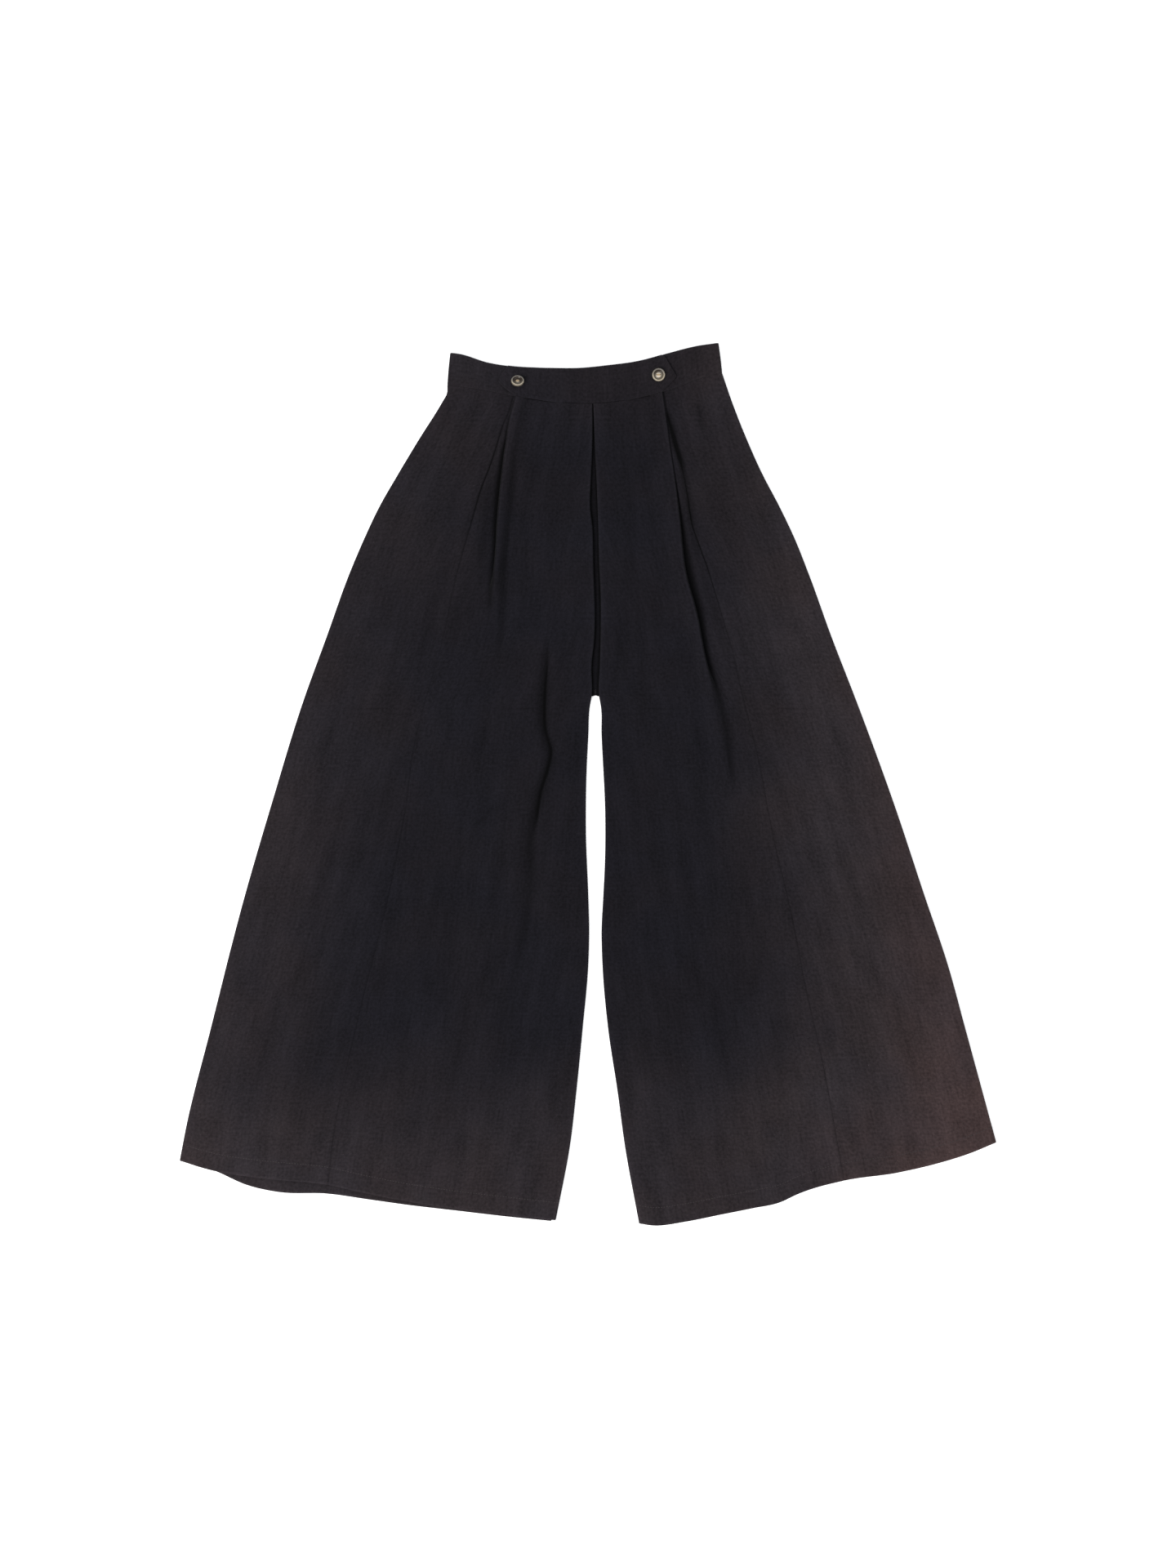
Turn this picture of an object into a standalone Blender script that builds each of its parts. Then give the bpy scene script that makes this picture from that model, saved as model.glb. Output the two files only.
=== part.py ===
"""High-waisted trousers with very wide legs, laid flat on a table with the front up.

Each cloth panel is a wall lofted through closed sections. A section is worked out from the leg's curves, the
pleats' folds and the creases, all in short tables below. Tables are in millimetres and the objects in metres.
+Z is up, the waist points to +Y and the trousers rest on z = 0. "Right" and "left" are the wearer's, and the
wearer's right leg lies on the -X side.

drop: distance down from the waistband's highest point.
reach: distance from the centre front line, positive away from it on either leg.
across: the same distance with a sign, positive towards +X.
"""

import math
from dataclasses import dataclass

import bmesh
import bpy
import numpy as np
from mathutils import Vector

MM = 0.001

# Overall sizes in millimetres
LENGTH = 1081.0
CENTRE_LINE_X = 9.0
WAIST_SEAM_DROP = 75.0
CROTCH_DROP = 433.0
HEM_DROP = 1050.0
WAIST_FADE_DROP = 330.0
HEM_FADE_DROP = 700.0

# Cloth walls and levels in millimetres
WALL = 1.2
BAND_WALL = 2.2
HEM_WALL = 2.0
HEM_DEPTH = 24.0
HEM_EDGE_WALL = 1.0
HEM_EDGE_FADE = 2.5
GAP = 0.3
HALF_SEAM = GAP / 2
FRONT_LEVEL = WALL + GAP + WALL / 2
HIGHEST_RELIEF = 3.6
WAIST_PUFF = 0.8
LEG_PUFF = 1.5
PUFF_DROPS = (250.0, 420.0)
HEM_RAISE = 1.2
HEM_RAISE_FADE = 45.0
CREASE_FADE = 0.25
CROTCH_FADE = 40.0
CROTCH_CLEARANCE = 12.0
PLEAT_FADE = (0.0, 0.33, 0.67)
EDGE_RADIUS = 1.6
EDGE_RETURN = 5.0
EDGE_SETTLE = 25.0
LIFT_MARGIN = 2.0
LIFT_FALL = 20.0

# Waist seam and the waistband's top edge: (across, drop)
WAIST_SEAM = ((-181.5, 51.5), (-140, 57.5), (-87.5, 67.5), (-40.5, 73.8), (-4.5, 75), (27.5, 72.5),
              (61.5, 66), (95, 56.5), (125, 45), (155.5, 36))
BAND_TOP = ((-178, 12), (-164.5, 14), (-132.5, 24), (-100.5, 29), (-52.5, 31), (-20.5, 31), (11.5, 28),
            (59.5, 21), (91.5, 12), (123.5, 4), (151, 0))
CENTRE_SEAM = ((77, -3), (130, -2), (171, -2), (227, 0), (311, 2), (366, 2.5), (394, 0.5), (433, 0))

# The centre inverted pleat's fold down its length. lap: width folded under; start: heading of the cloth at its
# seam, 0 lying away from the centre and 180 curling in from the table; arc: length of the hidden fold's turn;
# radius: the visible fold's; top: height of the cloth over the fold; run: width of the cloth before the hidden
# fold, or 0 where it is worked out from where the cloth starts.
CENTRE_FOLD_COLUMNS = ("drop", "lap", "start", "arc", "radius", "top", "run")
CENTRE_FOLD = (
    (75, 26, 0, 2.5, 1.0, 5.7, 0),
    (250, 24, 0, 2.5, 1.0, 5.7, 0),
    (350, 14, 0, 2.5, 1.0, 5.7, 0),
    (410, 5, 0, 2.5, 1.0, 5.7, 0),
    (433, 1.5, 0, 2.5, 1.0, 5.7, 0),
    (434.5, 1.5, 0, 2.5, 1.0, 5.6, 0.5),
    (437, 1.2, 60, 2.0, 1.2, 5.2, 0.5),
    (440, 1.0, 120, 1.5, 1.4, 4.5, 0.5),
    (446, 1.0, 180, 1.0, 1.6, 3.8, 0),
    (1050, 1.0, 180, 1.0, 1.6, 3.8, 0),
)

# The side pleat's fold, by the distance from where it starts to open. turn: how far the cloth turns back on
# itself; arc_in, arc_out: lengths of the hidden and the visible fold's turns.
SIDE_FOLD_COLUMNS = ("past", "lap", "turn", "arc_in", "arc_out")
SIDE_FOLD = (
    (-210, 22, 180, 2.8, 4.2),
    (-60, 15, 180, 2.8, 4.8),
    (-8, 3, 180, 2.8, 4.4),
    (6, 1.2, 140, 2.2, 3.6),
    (22, 1.0, 70, 1.8, 2.5),
    (45, 3.0, 18, 5.0, 6.0),
    (75, 6.0, 5, 10.0, 12.0),
    (120, 8.0, 0, 14.0, 16.0),
    (330, 12.0, 0, 22.0, 22.0),
)

# Stations down the cloth, as nominal drops
UPPER_STATIONS = (75, 80, 95, 115, 140, 165, 192, 220, 250, 274, 290, 304, 318, 334, 356, 384, 412)
CROTCH_STATIONS = (426, 433, 434.5, 437, 440, 446)
LOWER_STATIONS = (470, 510, 560, 620, 690, 760, 830, 900, 965, 1010)
SIDE_CROTCH_STATIONS = (426, 433, 446)
BACK_CROTCH_STATIONS = (424, 428, 433, 440, 446)
HEM_STATIONS = (HEM_DROP - HEM_DEPTH - 3, HEM_DROP - HEM_DEPTH, HEM_DROP - 3, HEM_DROP)

# Shares of a run of cloth at which it has a point
TOP_RUN = (0, 0.06, 0.16, 0.32, 0.5, 0.68, 0.84, 0.94, 1)
SIDE_RUN = (0, 0.05, 0.2, 0.4, 0.6, 0.8, 0.93, 1)
BACK_RUN = (0, 0.13, 0.26, 0.39, 0.52, 0.65, 0.77, 0.89, 1)
LOW_RUN_STEPS = 2
HIDDEN_STEPS = 3
VISIBLE_STEPS = 4

# Waistband
BAND_BACK_LEVEL = BAND_WALL / 2
BAND_SIDE_LEVEL = BAND_WALL + GAP + BAND_WALL / 2
TAB_LEVEL = BAND_SIDE_LEVEL + BAND_WALL + GAP
BAND_FRONT_LEVEL = 4.6
BAND_END = {-1: -83.5, 1: 66.5}
BAND_EDGE_TOP = {-1: -178.0, 1: 151.0}
BAND_EDGE_SEAM = {-1: -181.5, 1: 155.5}
BAND_BACK_STEPS = 20
BAND_SIDE_STEPS = 8
BAND_ROUND = 0.9
BAND_EDGE_SHARE = 0.4
BAND_MIDDLE = (-60.0, -35.0, -10.0, 15.0, 42.0)
# The front band's ends: (across, upper drop, lower drop), tip first
TABS = {
    -1: ((-119, 41.5, 48), (-115.5, 36, 52), (-108.5, 28.5, 58), (-99.5, 29, 64.0), (-82, 30, 67.8)),
    1: ((99.5, 35, 42), (96, 31, 46), (89, 19, 53), (82, 15, 60.5), (65, 19.8, 63.6)),
}

# Buttons: centre as (across, drop), and the turned profile as (radius, height)
BUTTON_PLACES = {"button_right": (-96.0, 46.5), "button_left": (77.5, 39.0)}
BUTTON_PROFILE = ((0, 1.1), (4.9, 1.1), (6.2, 2.9), (6.8, 3.4), (7.6, 3.15), (8.1, 2.2), (7.6, 0.5), (6.7, 0),
                  (0, 0))
BUTTON_STEPS = 24
THREAD_HOLE_RADIUS = 0.85
THREAD_HOLE_SPACING = 4.2
THREAD_HOLE_DEPTH = 10.0
THREAD_HOLE_SIDES = 8

SHARP_ANGLE = 50.0
CLOTH_COLOUR = (0.020, 0.017, 0.020, 1.0)
BUTTON_COLOUR = (0.16, 0.085, 0.035, 1.0)
CLOTH_ROUGHNESS = 0.9
BUTTON_ROUGHNESS = 0.35


@dataclass(frozen=True)
class Crease:
    """A soft ridge (rise over 0) or trough (under 0) along (drop, reach) points. width: half its breadth."""

    rise: float
    width: float
    path: tuple


@dataclass(frozen=True)
class Leg:
    """One leg's curves as (drop, reach) and hems as (reach, drop). opens: where its side pleat opens."""

    name: str
    side: int
    outer: tuple
    seam: tuple
    fold: tuple
    inner: tuple
    hem: tuple
    back_hem: tuple
    opens: float
    creases: tuple


RIGHT_LEG = Leg(
    name="right",
    side=-1,
    outer=((52, 181.5), (62, 182), (72, 187.5), (120, 217.5), (160, 241.5), (200, 264.5), (240, 283.5),
           (280, 300.5), (360, 329.5), (440, 358.5), (560, 395.5), (680, 430.5), (840, 471.5), (960, 501.5),
           (1002, 509.5)),
    seam=((65, 100.5), (108, 115.5), (158, 133.5), (215, 150.5), (288, 170.5), (372, 188.5), (444, 209.5),
          (494, 221.5), (573, 232.5), (680, 253.5), (837, 292.5), (980, 321.5), (1030, 326.5)),
    fold=((65, 98), (90, 106.5), (135, 113.5), (183, 120.5), (234, 123.5), (316, 128.5), (500, 145),
          (1050, 205)),
    inner=((77, 3.5), (116, 3.5), (171, 5.5), (199, 6.5), (227, 3.5), (269, 2.5), (366, 1.5), (394, 4.5),
           (433, 4.5), (446, 6.8), (480, 8.5), (520, 10.5), (600, 11.5), (680, 8.5), (720, 7.5), (760, 8.5),
           (840, 15.5), (920, 23.5), (980, 30.5), (1075, 48.5)),
    hem=((48.5, 1075), (99.5, 1069), (168.5, 1061), (228.5, 1052), (278.5, 1042), (329.5, 1031), (398.5, 1024),
         (466.5, 1014), (509.5, 1002)),
    back_hem=((48.5, 1077), (108.5, 1071), (168.5, 1064), (228.5, 1057), (278.5, 1050), (328.5, 1043),
              (388.5, 1041), (428.5, 1032), (466.5, 1015), (509.5, 1002)),
    opens=285.0,
    creases=(
        Crease(1.4, 7, ((70, 92), (151, 108), (220, 115), (311, 121), (364, 124))),
        Crease(-1.6, 8, ((85, 90), (151, 98.5), (220, 105.5), (266, 112.5), (334, 112.5), (420, 121))),
        Crease(-1.5, 9, ((330, 60), (391, 56.5), (449, 63.5), (497, 56), (552, 66.5), (614, 80.5), (669, 74),
                         (717, 84), (830, 106))),
        Crease(1.2, 14, ((330, 78), (450, 84), (560, 90), (680, 104))),
        Crease(1.0, 10, ((120, 165), (180, 178), (255, 195), (320, 206), (420, 222))),
        Crease(-1.2, 10, ((150, 152), (216, 170), (309, 188), (405, 210), (450, 220))),
        Crease(-1.0, 12, ((190, 250), (243, 266), (300, 283), (350, 300))),
        Crease(1.2, 14, ((190, 226), (243, 243), (330, 275), (420, 300))),
        Crease(-0.9, 22, ((560, 150), (700, 165), (860, 175), (980, 180))),
        Crease(0.9, 26, ((520, 300), (700, 350), (880, 400))),
    ),
)

LEFT_LEG = Leg(
    name="left",
    side=1,
    outer=((37, 155.5), (72, 167.5), (120, 186.5), (160, 204.5), (200, 225.5), (240, 244.5), (280, 260.5),
           (360, 289.5), (440, 320.5), (560, 364.5), (680, 404.5), (760, 431.5), (840, 453.5), (980, 491.5)),
    seam=((61, 83.5), (111, 100.5), (150, 111.5), (189, 115.5), (219, 118.5), (253, 128.5), (295, 143.5),
          (375, 168.5), (423, 178.5), (512, 200.5), (601, 217.5), (709, 242.5), (787, 257.5), (880, 278.5),
          (1026, 304.5)),
    fold=((61, 82), (104, 87.5), (158, 97.5), (225, 104.5), (286, 111.5), (343, 119.5), (500, 138),
          (1050, 190)),
    inner=((77, -2.5), (130, -0.5), (171, 1.5), (227, 3.5), (269, 4.5), (311, 6.5), (352, 6.5), (394, 5.5),
           (433, 4.5), (446, 6.8), (480, 7.5), (520, 9.5), (560, 11.5), (640, 11.5), (680, 9.5), (720, 7.5),
           (760, 8.5), (840, 15.5), (920, 27.5), (980, 35.5), (1079, 53.5)),
    hem=((53.5, 1079), (71.5, 1081), (111.5, 1076), (151.5, 1068), (191.5, 1060), (227.5, 1052), (246.5, 1043),
         (304.5, 1026), (371.5, 1016), (451.5, 995), (490.5, 980)),
    back_hem=((53.5, 1078), (71.5, 1079), (111.5, 1074), (151.5, 1066), (191.5, 1058), (227.5, 1050),
              (246.5, 1041), (304.5, 1024), (371.5, 1014), (451.5, 993), (490.5, 979)),
    opens=315.0,
    creases=(
        Crease(-1.8, 7, ((240, 108), (294, 121), (330, 130), (375, 139), (438, 157), (471, 163), (560, 166))),
        Crease(1.4, 8, ((250, 128), (330, 145), (420, 166), (520, 182))),
        Crease(1.0, 8, ((72, 74), (151, 88), (225, 94), (300, 100), (380, 108))),
        Crease(-1.0, 10, ((90, 62), (180, 72), (300, 86), (400, 92))),
        Crease(-1.2, 9, ((60, 160), (93, 170), (126, 176), (198, 192), (230, 202))),
        Crease(1.1, 12, ((70, 146), (150, 164), (240, 190), (330, 214))),
        Crease(-1.0, 13, ((200, 206), (255, 224), (324, 247), (400, 276))),
        Crease(-0.9, 18, ((500, 62), (694, 70), (823, 74), (940, 84))),
        Crease(0.9, 24, ((520, 120), (694, 140), (880, 172))),
        Crease(0.8, 26, ((540, 270), (700, 316), (880, 370))),
    ),
)


def smoothstep(low, high, value):
    """0 below low, 1 above high, and a smooth S between them."""
    share = np.clip((value - low) / (high - low), 0.0, 1.0)
    return share * share * (3.0 - 2.0 * share)


def along(table, place):
    """The second column of a table at a place in its first, on a smooth curve that ends in straight lines."""
    known, values = np.array(table, float).T
    slopes = np.gradient(values, known)
    place = np.asarray(place, float)
    inside = np.clip(place, known[0], known[-1])
    row = np.clip(np.searchsorted(known, inside, side="right") - 1, 0, len(known) - 2)
    span = known[row + 1] - known[row]
    t = (inside - known[row]) / span
    curve = (
        (2 * t**3 - 3 * t**2 + 1) * values[row]
        + (t**3 - 2 * t**2 + t) * span * slopes[row]
        + (3 * t**2 - 2 * t**3) * values[row + 1]
        + (t**3 - t**2) * span * slopes[row + 1]
    )
    past_end = np.where(place > known[-1], slopes[-1], slopes[0])
    return curve + (place - inside) * past_end


def row_of(table, columns, place):
    """A table's columns at a place in its first, as a dictionary, with straight lines between its rows."""
    numbers = np.array(table, float)
    return {name: float(np.interp(place, numbers[:, 0], numbers[:, k])) for k, name in enumerate(columns)}


def wall_at(station):
    """The cloth's thickness: it doubles over the turned-up hem and rounds off at the hem's folded edge."""
    turned_up = HEM_DROP - HEM_DEPTH
    hem = WALL + (HEM_WALL - WALL) * smoothstep(turned_up - HEM_EDGE_FADE, turned_up, station)
    return float(hem - (HEM_WALL - HEM_EDGE_WALL) * smoothstep(HEM_DROP - HEM_EDGE_FADE, HEM_DROP, station))


def actual_drop(leg, station, reach, hem):
    """A station bends up to the waist seam near the waist and down to the hem near the hem."""
    waist = along(WAIST_SEAM, leg.side * reach) - WAIST_SEAM_DROP
    foot = along(hem, reach) - HEM_DROP
    near_waist = 1.0 - smoothstep(WAIST_SEAM_DROP, WAIST_FADE_DROP, station)
    near_hem = smoothstep(HEM_FADE_DROP, HEM_DROP, station)
    return station + waist * near_waist + foot * near_hem


def curve_reach(leg, curve, station, hem):
    """Where a station crosses one of the leg's curves."""
    reach = float(along(curve, station))
    for _ in range(4):
        reach = float(along(curve, actual_drop(leg, station, reach, hem)))
    return reach


def puff_at(station):
    """How far the uncreased front cloth stands above the level where it would lie pressed flat."""
    return float(WAIST_PUFF + (LEG_PUFF - WAIST_PUFF) * smoothstep(*PUFF_DROPS, station))


def relief(leg, station, reach, inner, outer):
    """How far the front cloth stands above that level with its creases, its hem and its settled edges."""
    drop = actual_drop(leg, station, reach, leg.hem)
    height = puff_at(station) + np.zeros_like(reach)
    for crease in leg.creases:
        first, last = crease.path[0][0], crease.path[-1][0]
        fade = (last - first) * CREASE_FADE
        shown = smoothstep(first, first + fade, drop) * (1.0 - smoothstep(last - fade, last, drop))
        off = (reach - along(crease.path, drop)) / crease.width
        height = height + crease.rise * shown * np.exp(-off * off)
    height = np.clip(height, 0.0, HIGHEST_RELIEF)
    turned_up = HEM_DROP - HEM_DEPTH
    height = height + HEM_RAISE * smoothstep(turned_up - HEM_RAISE_FADE, turned_up, station)
    at_inner_edge = smoothstep(CROTCH_DROP - CROTCH_FADE, CROTCH_DROP, station) * (
        1.0 - smoothstep(inner, inner + EDGE_SETTLE, reach)
    )
    at_outer_edge = 1.0 - smoothstep(outer - EDGE_SETTLE, outer, reach)
    return height * (1.0 - at_inner_edge) * at_outer_edge


def walk(heading, moves):
    """Points (along, up) of a path of (length, turn, steps) moves. Turns are in radians, upwards positive."""
    place = np.zeros(2)
    points = [place]
    for length, turn, steps in moves:
        bend = turn / steps
        shortening = math.sin(bend / 2) / (bend / 2) if abs(bend) > 1e-9 else 1.0
        for _ in range(steps):
            middle = heading + bend / 2
            step = length / steps * shortening
            place = place + step * np.array((math.cos(middle), math.sin(middle)))
            heading += bend
            points.append(place)
    return np.array(points)


def folded_edge(start, edge, heading, turn, lap, arc_in, arc_out, run):
    """Cloth from its seam, under a fold and round the fold's visible edge, as (distance, height) points.

    The last point lies over the fold at height 0. A run of 0 gets the length that starts the cloth at start.
    """
    moves = [
        (run, 0.0, LOW_RUN_STEPS),
        (arc_in, turn - heading, HIDDEN_STEPS),
        (lap, 0.0, 1),
        (arc_out, -turn, VISIBLE_STEPS),
    ]
    fold_middle = -1 - VISIBLE_STEPS // 2
    if not run:
        reached = walk(heading, moves)[fold_middle, 0]
        moves[0] = ((edge - start - reached) * math.cos(heading), 0.0, LOW_RUN_STEPS)
    points = walk(heading, moves)
    return points + np.array((edge - points[fold_middle, 0], -points[-1, 1]))


def front_section(leg, station):
    """The front panel's middle surface at a station, from the centre front to the side-front seam."""
    wall = wall_at(station)
    inner = curve_reach(leg, leg.inner, station, leg.hem)
    seam = curve_reach(leg, leg.seam, station, leg.hem)
    fold = curve_reach(leg, leg.fold, station, leg.hem)
    outer = curve_reach(leg, leg.outer, station, leg.hem)

    centre = row_of(CENTRE_FOLD, CENTRE_FOLD_COLUMNS, station)
    start = leg.side * float(along(CENTRE_SEAM, station)) + HALF_SEAM
    if station > CROTCH_DROP:
        start = inner + EDGE_RETURN
    centre_edge = folded_edge(
        start, inner + wall / 2, math.radians(centre["start"]), math.pi, centre["lap"], centre["arc"],
        math.pi * centre["radius"], centre["run"],
    )
    centre_top = centre["top"] + (wall - WALL) / 2

    side = row_of(SIDE_FOLD, SIDE_FOLD_COLUMNS, station - leg.opens)
    turn = math.radians(side["turn"])
    side_edge = folded_edge(
        HALF_SEAM, max(seam - fold, 1.0) + wall / 2, 0.0, turn, side["lap"], side["arc_in"], side["arc_out"],
        0.0,
    )
    side_top = FRONT_LEVEL - side_edge[0, 1]

    first = centre_edge[-1, 0]
    last = seam - side_edge[-1, 0]
    top = first + (last - first) * np.array(TOP_RUN[1:-1])
    from_centre = centre["lap"] + LIFT_MARGIN
    from_side = side["lap"] + LIFT_MARGIN
    height = FRONT_LEVEL + (centre_top - FRONT_LEVEL) * (
        1.0 - smoothstep(from_centre, from_centre + LIFT_FALL, top - first)
    )
    height = height + (side_top - FRONT_LEVEL) * (
        1.0 - smoothstep(from_side, from_side + LIFT_FALL, last - top)
    )

    points = np.concatenate([
        centre_edge + (0.0, centre_top),
        np.column_stack([top, height]),
        (side_edge * (-1.0, 1.0) + (seam, side_top))[::-1],
    ])
    height = relief(leg, station, points[:, 0], inner, outer)

    # Under the side pleat the cloth has no creases of its own, so that its layers stay apart
    to_fold = np.clip((seam - points[:, 0]) / max(seam - fold, 1.0), 0.0, 1.0)
    in_pleat = height[-1] + (puff_at(station) - height[-1]) * to_fold
    hidden = np.zeros(len(points))
    hidden[-len(side_edge):] = 1.0
    hidden[-len(side_edge):][:len(PLEAT_FADE)] = PLEAT_FADE
    height += (in_pleat - height) * hidden * (turn / math.pi)
    points[:, 1] += height
    return points


def side_section(leg, station):
    """The side panel's middle surface at a station, from its seam to the return under the outer edge."""
    wall = wall_at(station)
    seam = curve_reach(leg, leg.seam, station, leg.hem) + HALF_SEAM
    outer = curve_reach(leg, leg.outer, station, leg.hem)
    inner = curve_reach(leg, leg.inner, station, leg.hem)
    turn_starts = outer - wall / 2 - EDGE_RADIUS
    top_level = wall / 2 + 2 * EDGE_RADIUS
    run = seam + (turn_starts - seam) * np.array(SIDE_RUN)
    settle = smoothstep(0.0, EDGE_SETTLE, turn_starts - run)
    points = np.column_stack([run, top_level + (FRONT_LEVEL - top_level) * settle])
    under = EDGE_RETURN - wall / 2 - EDGE_RADIUS
    turned = walk(0.0, [(math.pi * EDGE_RADIUS, -math.pi, VISIBLE_STEPS), (under, 0.0, 1)])
    points = np.concatenate([points, turned[1:] + (turn_starts, top_level)])
    points[:, 1] += relief(leg, station, points[:, 0], inner, outer - wall / 2 - EDGE_RADIUS)
    return points


def back_section(leg, station):
    """The back panel's middle surface at a station: flat on the table, between the edges that curl under."""
    wall = wall_at(station)
    outer = curve_reach(leg, leg.outer, station, leg.back_hem) - EDGE_RETURN - GAP
    inner = HALF_SEAM
    if station > BACK_CROTCH_STATIONS[0]:
        inner = max(curve_reach(leg, leg.inner, station, leg.back_hem) + EDGE_RETURN + GAP, CROTCH_CLEARANCE)
    run = inner + (outer - inner) * np.array(BACK_RUN)
    return np.column_stack([run, np.full(len(run), wall / 2)])


def ring(points, wall):
    """The closed outline of a wall of cloth round the middle line that the points give."""
    tangent = np.gradient(points, axis=0)
    tangent[0] = points[1] - points[0]
    tangent[-1] = points[-1] - points[-2]
    tangent /= np.linalg.norm(tangent, axis=1)[:, None]
    outward = np.column_stack([-tangent[:, 1], tangent[:, 0]]) * wall / 2
    return np.concatenate([points + outward, (points - outward)[::-1]])


def loft(name, rings, finish):
    """One closed solid through rings of points in millimetres, each an outer and then an inner row."""
    mesh = bmesh.new()
    rows = [[mesh.verts.new(point * MM) for point in points] for points in rings]
    count = len(rows[0])
    for above, below in zip(rows, rows[1:]):
        for k in range(count):
            after = (k + 1) % count
            mesh.faces.new((above[k], above[after], below[after], below[k]))
    for end in (rows[0], rows[-1]):
        for k in range(count // 2 - 1):
            mesh.faces.new((end[k], end[k + 1], end[count - 2 - k], end[count - 1 - k]))
    bmesh.ops.recalc_face_normals(mesh, faces=mesh.faces)
    data = bpy.data.meshes.new(name)
    mesh.to_mesh(data)
    mesh.free()
    add_object(name, data, finish)


def add_object(name, data, finish):
    """Puts a mesh in the trousers' collection, shaded smooth but for its sharp edges."""
    data.materials.append(finish)
    data.shade_smooth()
    data.set_sharp_from_angle(angle=math.radians(SHARP_ANGLE))
    piece = bpy.data.objects.new(name, data)
    bpy.data.collections["trousers"].objects.link(piece)
    return piece


def panel(name, leg, section, stations, hem, finish):
    """A panel of one leg, lofted through its sections at the stations."""
    rings = []
    for station in stations:
        outline = ring(section(leg, station), wall_at(station))
        reach = outline[:, 0]
        drop = actual_drop(leg, station, reach, hem)
        rings.append(placed(leg.side * reach, drop, outline[:, 1]))
    loft(name, rings, finish)


def placed(across, drop, height):
    """Points in the frame of the whole object, in millimetres."""
    x = np.asarray(across) + CENTRE_LINE_X
    y = LENGTH / 2 - np.asarray(drop)
    return np.column_stack([x, y, np.broadcast_to(height, x.shape)])


def band_ring(lower, upper, level, normal=(0.0, 1.0)):
    """A band's closed section across its width. lower, upper: its edges' (across, drop); normal: in X and Z."""
    lower, upper = np.array(lower, float), np.array(upper, float)
    inset = BAND_ROUND / np.linalg.norm(upper - lower)
    half = BAND_WALL / 2
    rounded = ((0.0, BAND_EDGE_SHARE), (inset, 1.0), (1.0 - inset, 1.0), (1.0, BAND_EDGE_SHARE))
    outline = [(share, up * half) for share, up in rounded]
    outline += [(share, -up * half) for share, up in reversed(rounded)]
    points = []
    for share, up in outline:
        across, drop = lower + (upper - lower) * share
        points.append(placed([across + normal[0] * up], [drop], level + normal[1] * up)[0])
    return points


def band_edges(across):
    """The (across, drop) of a band's lower and upper edge where its lower edge is this far across."""
    side = -1 if across < 0 else 1
    upper = across * BAND_EDGE_TOP[side] / BAND_EDGE_SEAM[side]
    return (across, float(along(WAIST_SEAM, across)) - GAP), (upper, float(along(BAND_TOP, upper)))


def waistband_back(finish):
    """The band from under the right tab, round the right side, across the back and round to the left tab."""
    radius = (BAND_SIDE_LEVEL - BAND_BACK_LEVEL) / 2
    middle = (BAND_SIDE_LEVEL + BAND_BACK_LEVEL) / 2
    corner = {side: edge - side * (BAND_WALL / 2 + radius) for side, edge in BAND_EDGE_SEAM.items()}
    turns = [math.pi * k / VISIBLE_STEPS for k in range(VISIBLE_STEPS + 1)]
    right_front = np.linspace(BAND_END[-1], corner[-1], BAND_SIDE_STEPS)
    back = np.linspace(corner[-1], corner[1], BAND_BACK_STEPS)
    left_front = np.linspace(corner[1], BAND_END[1], BAND_SIDE_STEPS)
    path = [(x, BAND_SIDE_LEVEL, (0.0, 1.0)) for x in right_front[:-1]]
    path += [
        (corner[-1] - radius * math.sin(a), middle + radius * math.cos(a), (-math.sin(a), math.cos(a)))
        for a in turns
    ]
    path += [(x, BAND_BACK_LEVEL, (0.0, -1.0)) for x in back[1:-1]]
    path += [
        (corner[1] + radius * math.sin(a), middle + radius * math.cos(a), (math.sin(a), math.cos(a)))
        for a in reversed(turns)
    ]
    path += [(x, BAND_SIDE_LEVEL, (0.0, 1.0)) for x in left_front[1:]]
    rings = [band_ring(*band_edges(float(x)), level, normal) for x, level, normal in path]
    loft("waistband_back", rings, finish)


def waistband_front(finish):
    """The front band with a blunt-pointed tab at each end, raised where its tabs lap over the side band."""
    rings = [band_ring((x, low), (x, high), TAB_LEVEL) for x, high, low in TABS[-1]]
    for x in BAND_MIDDLE:
        rings.append(band_ring(*band_edges(x), BAND_FRONT_LEVEL))
    rings += [band_ring((x, low), (x, high), TAB_LEVEL) for x, high, low in reversed(TABS[1])]
    loft("waistband_front", rings, finish)


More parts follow.
